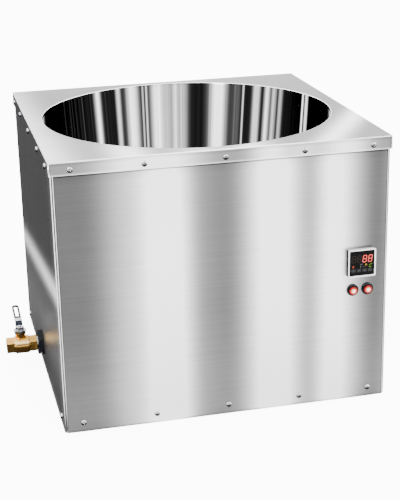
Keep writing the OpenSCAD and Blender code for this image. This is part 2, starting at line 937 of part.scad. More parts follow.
module side_heater() {
    color("goldenrod") {
        difference() {
            translate([0, 0, band_z])
                ring(band_out_r, band_in_r, band_h);
            rotate([0, 0, 135])
                translate([band_in_r - eps, -band_opening / 2, band_z - eps])
                    cube([band_t + 2 * eps, band_opening, band_h + 2 * eps]);
        }
        on_corner_diagonal()
            difference() {
                translate([band_in_r, -band_box_w / 2, band_box_z])
                    cube([band_t + band_box_d, band_box_w, band_box_h]);
                translate([0, 0, band_box_z - eps])
                    cylinder(r = band_in_r + band_t / 2, h = band_box_h + 2 * eps);
            }
    }
}

module side_heater_clamp() {
    color("silver")
        rotate([0, 0, 135])
            difference() {
                translate([0, 0, strap_z])
                    linear_extrude(strap_w) strap_outline();
                strap_bolt_place()
                    cylinder(r = strap_bolt_d / 2 + fixed_gap, h = 2 * band_opening, center = true);
            }
}

// Strap seen from above, with the two ears of its opening
module strap_outline() {
    ear_y = band_opening / 2 + ear_t;
    difference() {
        union() {
            circle(strap_out_r);
            translate([strap_in_r, -ear_y])
                square([strap_t + ear_reach, 2 * ear_y]);
        }
        circle(strap_in_r);
        translate([strap_in_r / 2, -band_opening / 2])
            square([strap_in_r, band_opening]);
    }
}

module strap_bolt_place() {
    translate([strap_out_r + ear_reach / 2, 0, strap_z + strap_w / 2])
        toward_front() children();
}

module clamp_bolt() {
    ear_y = band_opening / 2 + ear_t;
    nut_t = strap_bolt_d * 0.8;
    color("gray")
        rotate([0, 0, 135])
            strap_bolt_place() {
                translate([0, 0, ear_y])
                    hexagon(strap_bolt_d * 1.6, nut_t);
                translate([0, 0, -ear_y - nut_t - 2])
                    cylinder(d = strap_bolt_d, h = 2 * ear_y + nut_t + 2);
                translate([0, 0, -ear_y - nut_t])
                    difference() {
                        hexagon(strap_bolt_d * 1.6, nut_t);
                        translate([0, 0, -eps])
                            cylinder(r = strap_bolt_d / 2 + running_gap, h = nut_t + 2 * eps);
                    }
            }
}

module side_insulation() {
    ear_window = 2 * (band_opening / 2 + ear_t + strap_bolt_d * 0.8 + 4);
    color("beige")
        difference() {
            translate([0, 0, wool_z])
                ring(wool_out_r, wool_in_r, wool_top_z - wool_z);
            on_corner_diagonal()
                translate([wool_in_r - 2 * wool_t, -window_w / 2, wool_z - eps])
                    cube([4 * wool_t, window_w, probe_z + probe_len - wool_z]);
            rotate([0, 0, 135])
                translate([wool_in_r - wool_t, -ear_window / 2, strap_z - strap_w / 4])
                    cube([3 * wool_t, ear_window, strap_w * 1.5]);
        }
}

// Sensors and electronics

module temperature_probe() {
    color("silver")
        on_corner_diagonal()
            translate([pot_out_r + probe_d / 2 + fixed_gap, 0, probe_z - probe_len / 2])
                cylinder(d = probe_d, h = probe_len);
}

module probe_clip() {
    channel_w = probe_d + 2 * fixed_gap;
    color("gray")
        on_corner_diagonal()
            difference() {
                translate([pot_r, -clip_size.x / 2, probe_z - clip_size.z / 2])
                    cube([pot_t + clip_size.y, clip_size.x, clip_size.z]);
                cylinder(r = pot_out_r, h = overall_h);
                translate([pot_r, -channel_w / 2, 0])
                    cube([pot_t + channel_w / 2, channel_w, overall_h]);
                translate([pot_out_r + probe_d / 2 + fixed_gap, 0, 0])
                    cylinder(d = channel_w, h = overall_h);
            }
}

module overheat_thermostat() {
    flange_t = 1;
    color("black")
        on_corner_diagonal()
            translate([pot_out_r + fixed_gap, 0, thermostat_z]) {
                translate([0, -thermostat_flange / 2, -thermostat_d / 4])
                    cube([flange_t, thermostat_flange, thermostat_d / 2]);
                toward_right()
                    cylinder(d = thermostat_d, h = thermostat_depth);
            }
}

module electronics_shield() {
    corner_gap = 1;
    left_end = shield_out_r - (body_d / 2 - panel_t) * diagonal + corner_gap;
    right_end = (side_x - panel_t) * diagonal - shield_out_r - corner_gap;
    foot_end = (frame_d / 2 - panel_t) * diagonal - shield_out_r - shield_foot_w - 3 * corner_gap;
    color("silver")
        on_corner_diagonal()
            difference() {
                translate([shield_r, left_end, tray_t]) {
                    cube([shield_t, right_end - left_end, shield_h]);
                    translate([0, foot_end < -left_end ? -left_end - foot_end : 0, 0])
                        cube([shield_t + shield_foot_w, 2 * foot_end, shield_t]);
                }
                translate([shield_r - eps, -wire_way.x / 2, tray_t - eps])
                    cube([shield_t + shield_foot_w + 2 * eps, wire_way.x, wire_way.y + eps]);
                cover_shield_corners();
            }
}

// Keeps the shield's foot off the tray's flanges and clear of the ends of their screws
module cover_shield_corners() {
    rotate([0, 0, 45])
        difference() {
            translate([-body_w, -body_d, 0])
                cube([2 * body_w, 2 * body_d, tray_flange_h + eps]);
            translate([0, 0, -eps])
                linear_extrude(tray_flange_h + 4 * eps)
                    square([body_w - 2 * screw_reach, body_d - 2 * screw_reach], center = true);
        }
}

module relay_heat_sink() {
    color("darkgray")
        translate([sink_x, sink_y, sink_z]) {
            cube([sink_base_t, sink_d, sink_h]);
            for (i = [0:fin_n - 1])
                translate([sink_base_t, i * (sink_d - fin_t) / (fin_n - 1), 0])
                    cube([fin_len, fin_t, sink_h]);
        }
}

module solid_state_relay() {
    terminal_d = 8;
    color("black")
        translate([relay_x, relay_y, relay_z])
            difference() {
                cube(relay_size);
                for (y = [0.25, 0.75], z = [0.14, 0.86])
                    translate([-eps, y * relay_size.y, z * relay_size.z])
                        toward_right()
                            cylinder(d = terminal_d, h = eps + terminal_d / 2);
            }
}

module terminal_block() {
    poles = 6;
    pole_d = 5;
    color("ivory")
        translate([block_x, block_y, tray_t])
            difference() {
                cube(block_size);
                for (i = [0:poles - 1])
                    translate([(i + 0.5) * block_size.x / poles, block_size.y / 4, block_size.z - pole_d])
                        cylinder(d = pole_d, h = pole_d + eps);
            }
}

module heater_wires() {
    low_z = tray_t + wire_d;
    block_end_y = block_y + block_size.y;
    tab_z = heater_z - tab_size.z / 2;
    box_z = band_box_z + band_box_h / 2;
    gap_r = (wool_out_r + shield_r) / 2;
    color("firebrick")
        for (side = [-1, 1]) {
            across = 4 * side;
            end_x = block_x + block_size.x / 2 + 4 * side;
            wire([diagonal_point(heater_r - 2, across, tab_z),
                  diagonal_point(heater_r + 20, across, tab_z),
                  diagonal_point(support_r, across, tab_z - 2),
                  diagonal_point(support_r + 30, across, low_z + 4),
                  diagonal_point(shield_r + 6, across, low_z + 4),
                  [end_x, block_end_y + 16, low_z + 4],
                  [end_x, block_end_y, low_z + 4]]);
        }
    color("firebrick")
        for (side = [-1, 1]) {
            across = 12 * side;
            end_x = block_x + block_size.x / 2 + 14 * side;
            wire([diagonal_point(band_out_r + band_box_d, across, box_z),
                  diagonal_point(gap_r + 1, across, box_z),
                  diagonal_point(gap_r, across, box_z - 12),
                  diagonal_point(gap_r, across, low_z + 30),
                  diagonal_point(gap_r, across, low_z + 4),
                  diagonal_point(shield_r + 8, across, low_z + 4),
                  [end_x, block_end_y + 20, low_z + 4],
                  [end_x, block_end_y, low_z + 4]]);
        }
}

module control_wires() {
    block_top_z = tray_t + block_size.z;
    block_mid_y = block_y + block_size.y * 0.75;
    behind_y = case_back_y + 10;
    color("white") {
        for (side = [-1, 1])
            wire([[control_x - 12 + 5 * side, case_back_y, control_z],
                  [control_x - 12 + 5 * side, behind_y, control_z],
                  [control_x - 12 + 5 * side, behind_y, control_z - 20],
                  [control_x - 16 + 5 * side, behind_y - 10, block_top_z + 60],
                  [control_x - 16 + 5 * side, block_mid_y, block_top_z + 25],
                  [control_x - 16 + 5 * side, block_mid_y, block_top_z]]);
        for (side = [-1, 1])
            wire([[control_x + side * switch_pitch / 2, switch_back_y, switch_z],
                  [control_x + side * switch_pitch / 2, switch_back_y + 10, switch_z],
                  [control_x - 26 + 6 * side, switch_back_y + 10, switch_z - 30],
                  [control_x - 28 + 5 * side, switch_back_y - 10, block_top_z + 70],
                  [control_x - 32 + 5 * side, block_mid_y, block_top_z + 22],
                  [control_x - 32 + 5 * side, block_mid_y, block_top_z]]);
        wire([diagonal_point(pot_out_r + probe_d / 2 + fixed_gap, 0, probe_z + probe_len / 2),
              diagonal_point(pot_out_r + probe_d / 2 + fixed_gap, 0, probe_z + probe_len / 2 + 8),
              diagonal_point((wool_out_r + shield_r) / 2, 0, tray_t + shield_h - 20),
              diagonal_point(shield_r, 0, tray_t + shield_h + 16),
              diagonal_point(shield_r + 8, 0, tray_t + shield_h - 16),
              [control_x, behind_y, control_z + 20],
              [control_x, behind_y, control_z + 5],
              [control_x, case_back_y, control_z + 5]]);
    }
}

// Controller

module control_square(w, y_low, y_high, r = 0) {
    translate([control_x, y_high, control_z])
        rotate([90, 0, 0])
            linear_extrude(y_high - y_low)
                if (r > 0) rounded_plate(w, w, r);
                else square(w, center = true);
}

module controller_bezel() {
    color("whitesmoke")
        difference() {
            control_square(bezel_w, control_rim_y, face_y, bezel_r);
            control_square(bezel_w - 2 * rim_w, control_rim_y - eps, face_y + eps, bezel_r - 1);
        }
}

module controller_case() {
    collar_w = bezel_w - 2 * collar_inset;
    color("black")
        difference() {
            union() {
                control_square(collar_w, face_y, front_y, bezel_r - collar_inset);
                control_square(case_w, front_y - eps, case_back_y);
            }
            control_square(face_w, face_y - eps, face_back_y);
            control_square(case_in_w, face_y, case_back_y - case_wall);
        }
}

module key_place(i) {
    translate([control_x + (i - (key_n - 1) / 2) * key_pitch, 0, key_z]) children();
}

module controller_face() {
    color("black")
        difference() {
            control_square(face_w - 2 * fixed_gap, face_y, face_back_y);
            for (i = [0:key_n - 1])
                key_place(i)
                    translate([0, face_y + face_t / 2, 0])
                        cube([key_w + 2 * slide_gap, face_t + 2 * eps, key_h + 2 * slide_gap],
                             center = true);
        }
}

module key(i) {
    stem_w = 2.5;
    color("dimgray")
        key_place(i) {
            translate([-key_w / 2, face_y - key_proud, -key_h / 2])
                cube([key_w, key_proud + face_t + seat_gap + key_collar_t, key_h]);
            translate([-key_w / 2 - key_collar, key_collar_y, -key_h / 2 - key_collar])
                cube([key_w + 2 * key_collar, key_collar_t, key_h + 2 * key_collar]);
            translate([-stem_w / 2, key_collar_y, -stem_w / 2])
                cube([stem_w, board_y - key_travel - seat_gap - key_collar_y, stem_w]);
        }
}

module set_key() { key(0); }
module down_key() { key(1); }
module up_key() { key(2); }
module mode_key() { key(3); }

module controller_board() {
    color("green")
        control_square(case_in_w - 2 * fixed_gap, board_y, board_y + board_t);
}

module controller_clamp() {
    color("dimgray")
        difference() {
            control_square(case_w + 2 * clamp_rim, front_y + panel_t, front_y + panel_t + clamp_depth);
            control_square(case_w + 2 * fixed_gap, front_y, front_y + panel_t + clamp_depth + eps);
        }
}

// Switches

module switch_place(side) {
    translate([control_x + side * switch_pitch / 2, front_y, switch_z])
        toward_front() children();
}

module switch_housing(side) {
    bore_r = button_d / 2 + slide_gap;
    color("black")
        switch_place(side)
            difference() {
                rotate_extrude()
                    polygon([[0, -barrel_len], [barrel_d / 2, -barrel_len], [barrel_d / 2, 0],
                             [switch_bezel_d / 2, 0],
                             [switch_bezel_d / 2, switch_bezel_h - switch_chamfer],
                             [switch_bezel_d / 2 - switch_chamfer, switch_bezel_h],
                             [0, switch_bezel_h]]);
                translate([0, 0, -button_depth - button_travel - seat_gap])
                    cylinder(r = bore_r,
                             h = button_depth + button_travel + seat_gap + switch_bezel_h + eps);
            }
}

module switch_button(side) {
    dome_r = (pow(button_d / 2, 2) + pow(button_dome, 2)) / (2 * button_dome);
    color("red")
        switch_place(side)
            intersection() {
                translate([0, 0, -button_depth])
                    cylinder(d = button_d, h = button_depth + button_rise + button_dome);
                translate([0, 0, button_rise + button_dome - dome_r])
                    sphere(dome_r);
            }
}

module left_switch_housing() { switch_housing(-1); }
module right_switch_housing() { switch_housing(1); }
module left_switch_button() { switch_button(-1); }
module right_switch_button() { switch_button(1); }

module switch_nuts() {
    color("dimgray")
        for (side = [-1, 1])
            switch_place(side)
                translate([0, 0, -panel_t - switch_nut_t])
                    ring(switch_nut_d / 2, barrel_d / 2 + running_gap, switch_nut_t);
}

// Cable gland

module gland_place() {
    translate([gland_x, rear_y, gland_z])
        toward_rear() children();
}

module gland_body() {
    color("black")
        gland_place()
            difference() {
                union() {
                    translate([0, 0, -gland_thread_len])
                        cylinder(d = gland_thread_d, h = gland_thread_len + eps);
                    hexagon(gland_hex_af, gland_hex_len);
                    cylinder(d = gland_sleeve_d, h = gland_hex_len + gland_seal_len - 2);
                }
                translate([0, 0, -gland_thread_len - eps])
                    cylinder(d = cord_d + 1, h = 2 * gland_thread_len + gland_seal_len);
                translate([0, 0, gland_hex_len])
                    cylinder(d = gland_seal_d + 2 * fixed_gap, h = gland_seal_len);
            }
}

module gland_seal() {
    color("dimgray")
        gland_place()
            translate([0, 0, gland_hex_len + fixed_gap])
                ring(gland_seal_d / 2, cord_d / 2, gland_seal_len);
}

module gland_cap() {
    color("black")
        gland_place()
            translate([0, 0, gland_hex_len + fixed_gap])
                difference() {
                    hexagon(gland_cap_af, gland_cap_len, 1.6);
                    translate([0, 0, -eps])
                        cylinder(d = gland_sleeve_d + 2 * fixed_gap,
                                 h = gland_seal_len + fixed_gap + eps);
                    cylinder(d = cord_d + 1.4, h = gland_cap_len + eps);
                }
}

module gland_locknut() {
    color("black")
        gland_place()
            translate([0, 0, -panel_t - gland_nut_t])
                difference() {
                    hexagon(gland_hex_af, gland_nut_t);
                    translate([0, 0, -eps])
                        cylinder(r = gland_thread_d / 2 + running_gap, h = gland_nut_t + 2 * eps);
                }
}

// Outlet and ball valve

// Moves to the outlet's axis at the given X
module on_outlet(x) { translate([x, outlet_y, outlet_z]) children(); }

module outlet_pipe() {
    inner_end = -pot_r + 10;
    color("silver")
        difference() {
            union() {
                on_outlet(valve_right_x)
                    toward_right()
                        cylinder(r = pipe_r, h = inner_end - valve_right_x);
                on_outlet(valve_right_x - pipe_thread_len)
                    toward_right()
                        cylinder(d = pipe_thread_d, h = pipe_thread_len + eps);
            }
            on_outlet(valve_right_x - pipe_thread_len - eps)
                toward_right()
                    cylinder(d = pipe_bore, h = inner_end - valve_right_x + pipe_thread_len + 2 * eps);
            cylinder(r = pot_r, h = overall_h);
        }
}

module panel_seal() {
    color("black")
        on_outlet(seal_x)
            toward_right()
                ring(seal_d / 2, pipe_r + fixed_gap, seal_t);
}

module outlet_locknut() {
    color("black")
        on_outlet(locknut_x)
            toward_right()
                difference() {
                    hexagon(locknut_af, locknut_t, 1.6);
                    translate([0, 0, -eps])
                        cylinder(r = pipe_r + running_gap, h = locknut_t + 2 * eps);
                }
}

module at_valve() { on_outlet(ball_x) children(); }

module valve_body() {
    barrel_r = valve_barrel_d / 2;
    barrel_right = inlet_hex_in - valve_groove;
    neck_r = bonnet_neck_d / 2;
    top_r = bonnet_top_d / 2;
    rim_z = bonnet_h - bonnet_rim_h;
    color("goldenrod")
        at_valve()
            difference() {
                union() {
                    toward_right()
                        rotate_extrude()
                            polygon([[0, -outlet_hex_in], [barrel_r - barrel_chamfer, -outlet_hex_in],
                                     [barrel_r, -outlet_hex_in + shoulder_len],
                                     [barrel_r, barrel_right - barrel_chamfer / 2],
                                     [barrel_r - barrel_chamfer / 2, barrel_right],
                                     [0, barrel_right]]);
                    translate([-outlet_half, 0, 0])
                        toward_right()
                            hexagon(outlet_hex_af, hex_len + barrel_chamfer, 1);
                    rotate_extrude()
                        polygon([[0, 0], [neck_r, 0], [neck_r, bonnet_cone_z],
                                 [top_r, rim_z], [top_r, bonnet_h], [0, bonnet_h]]);
                    for (turn = [-90 - stop_turn, lever_swing - 90 + stop_turn])
                        rotate([0, 0, turn])
                            translate([top_r - stop_w / 2, -stop_w / 2, bonnet_h - stop_h - seat_gap])
                                cube([stop_w, stop_w, stop_h]);
                }
                translate([-chamber_half, 0, 0])
                    toward_right()
                        cylinder(d = chamber_d, h = 2 * inlet_half);
                translate([-outlet_half - eps, 0, 0])
                    toward_right()
                        cylinder(d = port_d, h = outlet_half);
                translate([-outlet_half - eps, 0, 0])
                    toward_right()
                        cylinder(d = outlet_thread_d, h = outlet_thread_len + eps);
                cylinder(r = stem_r + running_gap, h = bonnet_h + eps);
                translate([0, 0, bonnet_h - packing_cup_h])
                    cylinder(d = packing_cup_d, h = packing_cup_h + eps);
            }
}

// Angle from the lever's tab to a stop lug's middle
stop_turn = 2 * asin(stop_w / 2 / stop_r) + stop_play;

module valve_end() {
    color("goldenrod")
        at_valve()
            difference() {
                union() {
                    translate([inlet_hex_in, 0, 0])
                        toward_right()
                            hexagon(end_hex_af, hex_len, 1);
                    translate([chamber_half, 0, 0])
                        toward_right()
                            cylinder(r = chamber_d / 2 - running_gap, h = inlet_hex_in - chamber_half + eps);
                }
                toward_right()
                    cylinder(d = port_d, h = inlet_half);
                translate([inlet_half - pipe_thread_len - fixed_gap, 0, 0])
                    toward_right()
                        cylinder(r = pipe_thread_d / 2 + running_gap, h = inlet_half);
            }
}

module ball_seats() {
    color("white")
        at_valve()
            for (side = [-90, 90])
                rotate([0, side, 0])
                    rotate_extrude()
                        difference() {
                            translate([port_d / 2, seat_in])
                                square([(chamber_d - port_d) / 2 - running_gap,
                                        chamber_half - seat_in]);
                            circle(ball_r + seat_gap);
                        }
}

module valve_ball() {
    color("silver")
        at_valve()
            difference() {
                sphere(ball_r);
                toward_rear()
                    cylinder(d = port_d, h = 4 * ball_r, center = true);
                translate([0, 0, ball_r])
                    cube([blade_size.x + 2 * slide_gap, blade_size.y + 2 * running_gap,
                          2 * (blade_depth + slide_gap)], center = true);
            }
}

module valve_stem() {
    shoulder_z = ball_r + seat_gap;
    color("silver")
        at_valve() {
            intersection() {
                translate([-blade_size.x / 2, -blade_size.y / 2, ball_r - blade_depth])
                    cube([blade_size.x, blade_size.y, blade_depth + 2 * seat_gap]);
                cylinder(r = stem_r, h = stem_top_z);
            }
            translate([0, 0, shoulder_z])
                cylinder(r = stem_r, h = bonnet_h - shoulder_z);
            translate([-stem_square / 2, -stem_square / 2, bonnet_h - eps])
                cube([stem_square, stem_square, lever_top_z - bonnet_h + eps]);
            translate([0, 0, lever_top_z - eps])
                cylinder(d = stem_thread_d, h = stem_top_z - lever_top_z + eps);
        }
}

module stem_packing() {
    color("white")
        at_valve()
            translate([0, 0, bonnet_h - packing_cup_h])
                ring(packing_cup_d / 2 - running_gap, stem_r + running_gap, packing_h);
}

module packing_nut() {
    notch = 2;
    color("goldenrod")
        at_valve()
            translate([0, 0, bonnet_h - packing_cup_h + packing_h])
                difference() {
                    ring(packing_cup_d / 2 - running_gap, stem_r + running_gap,
                         packing_cup_h - packing_h);
                    translate([-packing_cup_d / 2, -notch / 2, packing_cup_h - packing_h - notch])
                        cube([packing_cup_d, notch, notch + eps]);
                }
}

// Outline of a bent strip: its middle line's points and its thickness
function strip_normal(p, i) =
    let (a = unit(p[max(i, 1)] - p[max(i, 1) - 1]),
         b = unit(p[min(i + 1, len(p) - 1)] - p[min(i + 1, len(p) - 1) - 1]),
         n = unit([-a.y - b.y, a.x + b.x]))
        n / (n * [-a.y, a.x]);

function bent_strip(p, t) = concat(
    [for (i = [0:len(p) - 1]) p[i] + t / 2 * strip_normal(p, i)],
    [for (i = [len(p) - 1:-1:0]) p[i] - t / 2 * strip_normal(p, i)]);

hub_r = hub_d / 2;
ramp_start = hub_r - 2;
grip_start = ramp_start + ramp_size.x + lever_flat;
grip_end = grip_start + grip_size.x;
lever_line = [[-hub_r, 0], [ramp_start, 0], [ramp_start + ramp_size.x, ramp_size.y],
              [grip_start, ramp_size.y], [grip_end, ramp_size.y + grip_size.y]];

module lever_outline() {
    circle(hub_r);
    translate([-lever_w / 2, 0])
        square([lever_w, grip_end - lever_w / 2]);
    translate([0, grip_end - lever_w / 2])
        circle(d = lever_w);
}

module valve_lever() {
    slot_far = grip_end - slot_end - slot_w / 2;
    color("silver")
        at_valve()
            translate([0, 0, lever_z]) {
                difference() {
                    intersection() {
                        translate([-hub_r - eps, 0, lever_t / 2])
                            rotate([90, 0, 90])
                                linear_extrude(hub_d + 2 * eps)
                                    polygon(bent_strip(lever_line, lever_t));
                        translate([0, 0, -eps])
                            linear_extrude(ramp_size.y + grip_size.y + lever_t + 3 * eps)
                                lever_outline();
                    }
                    translate([0, 0, lever_t / 2])
                        cube([stem_square + 2 * slide_gap, stem_square + 2 * slide_gap,
                              lever_t + 2 * eps], center = true);
                    linear_extrude(ramp_size.y + grip_size.y + 2 * lever_t) {
                        for (y = [slot_far, slot_far - slot_len + slot_w])
                            translate([0, y])
                                circle(d = slot_w);
                        translate([-slot_w / 2, slot_far - slot_len + slot_w])
                            square([slot_w, slot_len - slot_w]);
                    }
                }
                translate([-stop_w / 2, -stop_r - stop_w / 2, -stop_h])
                    cube([stop_w, stop_w / 2, stop_h + lever_t]);
                translate([-stop_w / 2, -stop_r - stop_w / 2, 0])
                    cube([stop_w, stop_w, lever_t]);
            }
}

module lever_nut() {
    color("silver")
        at_valve()
            translate([0, 0, lever_top_z])
                difference() {
                    hexagon(lever_nut_af, lever_nut_h);
                    translate([0, 0, -eps])
                        cylinder(r = stem_thread_d / 2 + running_gap, h = lever_nut_h + 2 * eps);
                }
}

// Screws

module cover_screws() {
    color("lightgray") at_cover_screws() pan_screw();
}

module base_screws() {
    color("lightgray") at_base_screws() pan_screw();
}

base_tray();
front_panel();
rear_panel();
left_panel();
right_panel();
top_cover();
melting_pot();
support_ring();
bottom_heater();
heater_clamp();
heater_nuts();
bottom_insulation();
side_heater();
side_heater_clamp();
clamp_bolt();
side_insulation();
electronics_shield();
temperature_probe();
probe_clip();
overheat_thermostat();
relay_heat_sink();
solid_state_relay();
terminal_block();
heater_wires();
control_wires();
controller_case();
controller_board();
controller_face();
controller_bezel();
controller_clamp();
set_key();
down_key();
up_key();
mode_key();
left_switch_housing();
right_switch_housing();
left_switch_button();
right_switch_button();
switch_nuts();
gland_body();
gland_seal();
gland_cap();
gland_locknut();
outlet_pipe();
panel_seal();
outlet_locknut();
valve_body();
valve_end();
ball_seats();
valve_ball();
valve_stem();
stem_packing();
packing_nut();
valve_lever();
lever_nut();
cover_screws();
base_screws();
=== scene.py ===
import json
import math
import random

import bpy
from mathutils import Matrix, Vector


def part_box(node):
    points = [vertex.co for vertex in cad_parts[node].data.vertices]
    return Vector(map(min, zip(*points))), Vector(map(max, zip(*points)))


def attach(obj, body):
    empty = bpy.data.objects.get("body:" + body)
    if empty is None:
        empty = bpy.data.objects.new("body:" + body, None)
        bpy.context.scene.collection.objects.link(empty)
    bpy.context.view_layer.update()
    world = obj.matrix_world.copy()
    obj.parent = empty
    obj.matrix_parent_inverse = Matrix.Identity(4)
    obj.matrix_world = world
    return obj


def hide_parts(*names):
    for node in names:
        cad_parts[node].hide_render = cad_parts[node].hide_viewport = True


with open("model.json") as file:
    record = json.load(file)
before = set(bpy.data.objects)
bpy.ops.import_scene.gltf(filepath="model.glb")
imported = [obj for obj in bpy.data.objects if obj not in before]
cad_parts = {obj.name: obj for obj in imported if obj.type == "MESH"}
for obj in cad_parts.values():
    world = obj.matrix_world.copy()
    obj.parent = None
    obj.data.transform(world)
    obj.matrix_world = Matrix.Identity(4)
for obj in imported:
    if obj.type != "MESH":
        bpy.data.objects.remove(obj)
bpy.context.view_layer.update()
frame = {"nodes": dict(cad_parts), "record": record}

# Beeswax melter: steel cabinet, polished pot, controller, two lit switches and a brass ball valve.
# Lengths are in metres. The front is towards -Y and the valve is on the -X side.

record = frame["record"]
nodes = frame["nodes"]


# Camera, as the photo was taken

cameraSettings = {
    "place": (-0.4708, -2.0892, 0.9448),
    "yaw": 13.19,    # degrees to the right of +Y
    "pitch": 19.19,    # degrees down
    "roll": -1.24,
    "lens": 89.9,
    "sensor": 36.0,
}


def setCamera(settings):
    yaw, pitch, roll = (math.radians(settings[key]) for key in ("yaw", "pitch", "roll"))
    level = Vector((math.cos(yaw), -math.sin(yaw), 0))
    forward = Vector((math.sin(yaw), math.cos(yaw), 0)) * math.cos(pitch)
    forward.z = -math.sin(pitch)
    raised = level.cross(forward)
    right = math.cos(roll) * level + math.sin(roll) * raised
    up = math.cos(roll) * raised - math.sin(roll) * level
    turn = Matrix((right, up, -forward)).transposed()
    bpy.ops.object.camera_add(location=settings["place"], rotation=turn.to_euler())
    camera = bpy.context.object
    camera.name = "camera"
    camera.data.sensor_fit = "VERTICAL"
    camera.data.sensor_height = settings["sensor"]
    camera.data.lens = settings["lens"]
    bpy.context.scene.camera = camera


setCamera(cameraSettings)


# Modelling helpers

def clearSelection():
    if bpy.context.object and bpy.context.object.mode != "OBJECT":
        bpy.ops.object.mode_set(mode="OBJECT")
    bpy.ops.object.select_all(action="DESELECT")


def activate(piece):
    clearSelection()
    piece.select_set(True)
    bpy.context.view_layer.objects.active = piece
    return piece


def addPrimitive(kind, name, **settings):
    clearSelection()
    getattr(bpy.ops.mesh, "primitive_" + kind + "_add")(**settings)
    piece = bpy.context.object
    piece.name = piece.data.name = name
    applyPlace()
    return piece


def applyModifier(piece, kind, **settings):
    activate(piece)
    modifier = piece.modifiers.new(kind.lower(), kind)
    for key, value in settings.items():
        setattr(modifier, key, value)
    bpy.ops.object.modifier_apply(modifier=modifier.name)
    return piece


# Selects the faces or the points that pass a test, and stays in edit mode
def pick(piece, kind, test):
    activate(piece)
    bpy.ops.object.mode_set(mode="EDIT")
    bpy.ops.mesh.select_mode(type=kind)
    bpy.ops.mesh.select_all(action="DESELECT")
    bpy.ops.object.mode_set(mode="OBJECT")
    for part in piece.data.polygons if kind == "FACE" else piece.data.vertices:
        part.select = test(part)
    bpy.ops.object.mode_set(mode="EDIT")


def pickAll(piece):
    activate(piece)
    bpy.ops.object.mode_set(mode="EDIT")
    bpy.ops.mesh.select_mode(type="VERT")
    bpy.ops.mesh.select_all(action="SELECT")


def leaveEdit():
    bpy.ops.object.mode_set(mode="OBJECT")


def applyPlace():
    bpy.ops.object.transform_apply(location=True, rotation=True, scale=True)


def joinPieces(pieces, name):
    activate(pieces[0])
    for piece in pieces[1:]:
        piece.select_set(True)
    bpy.ops.object.join()
    joined = bpy.context.object
    joined.name = joined.data.name = name
    return joined


def copyPiece(piece, name, place=(0, 0, 0), turn=(0, 0, 0)):
    activate(piece)
    bpy.ops.object.duplicate()
    copy = bpy.context.object
    copy.name = copy.data.name = name
    copy.rotation_euler = turn
    copy.location = place
    applyPlace()
    return copy


def smooth(piece, angle=30):
    activate(piece)
    bpy.ops.object.shade_smooth_by_angle(angle=math.radians(angle))
    return piece


def bevelEdges(piece, width, segments, angle, **settings):
    return applyModifier(piece, "BEVEL", width=width, segments=segments, limit_method="ANGLE",
                         angle_limit=math.radians(angle), **settings)


# Outline of (radius, height) points, drawn point by point and spun round the Z axis
def lathe(name, outline, steps, mergeDistance=0.000001):
    firstRadius, firstHeight = outline[0]
    piece = addPrimitive("plane", name, size=0.001)
    pickAll(piece)
    bpy.ops.mesh.merge(type="CENTER")
    bpy.ops.transform.translate(value=(firstRadius, 0, firstHeight))
    for (radius, height), (nextRadius, nextHeight) in zip(outline, outline[1:]):
        step = (nextRadius - radius, 0, nextHeight - height)
        bpy.ops.mesh.extrude_vertices_move(TRANSFORM_OT_translate={"value": step})
    bpy.ops.mesh.select_all(action="SELECT")
    bpy.ops.mesh.spin(steps=steps, angle=math.tau, center=(0, 0, 0), axis=(0, 0, 1))
    bpy.ops.mesh.select_all(action="SELECT")
    bpy.ops.mesh.remove_doubles(threshold=mergeDistance)
    bpy.ops.mesh.normals_make_consistent(inside=False)
    leaveEdit()
    return piece


# A CAD node's own shape, merged into whole faces, with its edges broken

refineSettings = {"mergeDistance": 0.000002, "flatAngle": 0.6, "smoothAngle": 40, "weight": 80}


def refine(node, name, bevel, segments, angle=30):
    piece = bpy.data.objects.new(name, nodes[node].data.copy())
    bpy.context.scene.collection.objects.link(piece)
    pickAll(piece)
    bpy.ops.mesh.remove_doubles(threshold=refineSettings["mergeDistance"])
    bpy.ops.mesh.dissolve_limited(angle_limit=math.radians(refineSettings["flatAngle"]))
    leaveEdit()
    if bevel:
        bevelEdges(piece, bevel, segments, angle, miter_outer="MITER_ARC")
    smooth(piece, refineSettings["smoothAngle"])
    applyModifier(piece, "WEIGHTED_NORMAL", keep_sharp=True, weight=refineSettings["weight"])
    return piece


# Gives a finished piece its look and its body, and hides the nodes that it stands for. The look is
# the slot's own finish, or the one named.
def finishPiece(piece, slotName, *standsFor, body="cabinet", look=None):
    activate(piece)
    applyPlace()
    piece.data.materials.clear()
    piece.data.materials.append(finishes[look or slotName])
    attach(piece, body)
    if standsFor:
        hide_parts(*standsFor)
    return piece


# Stands for a CAD node with the node's own shape
def dress(node, name, slotName, bevel, segments=3, angle=30, **finish):
    return finishPiece(refine(node, name, bevel, segments, angle), slotName, node, **finish)


# Node helpers for the materials

black, white = (0, 0, 0, 1), (1, 1, 1, 1)


def solid(colour):
    return (*colour, 1)


def feed(socket, value):
    if isinstance(value, bpy.types.NodeSocket):
        socket.id_data.links.new(value, socket)
    else:
        socket.default_value = value


def addNode(tree, kind, inputs=None, **settings):
    node = tree.nodes.new(kind)
    for key, value in settings.items():
        setattr(node, key, value)
    for key, value in (inputs or {}).items():
        feed(node.inputs[key], value)
    return node


def calculate(tree, operation, *values, kind="ShaderNodeMath", result=0, **settings):
    node = addNode(tree, kind, operation=operation, **settings)
    for socket, value in zip(node.inputs, values):
        feed(socket, value)
    return node.outputs[result]


def multiply(tree, *values, **settings):
    return calculate(tree, "MULTIPLY", *values, **settings)


def mixColours(tree, factor, first, second):
    node = addNode(tree, "ShaderNodeMix", data_type="RGBA")
    feed(node.inputs[0], factor)
    feed(node.inputs[6], first)
    feed(node.inputs[7], second)
    return node.outputs[2]


# The first value by its share, and the second by the rest
def blend(tree, first, share, second):
    rest = multiply(tree, second, 1.0 - share)
    return calculate(tree, "MULTIPLY_ADD", first, share, rest)


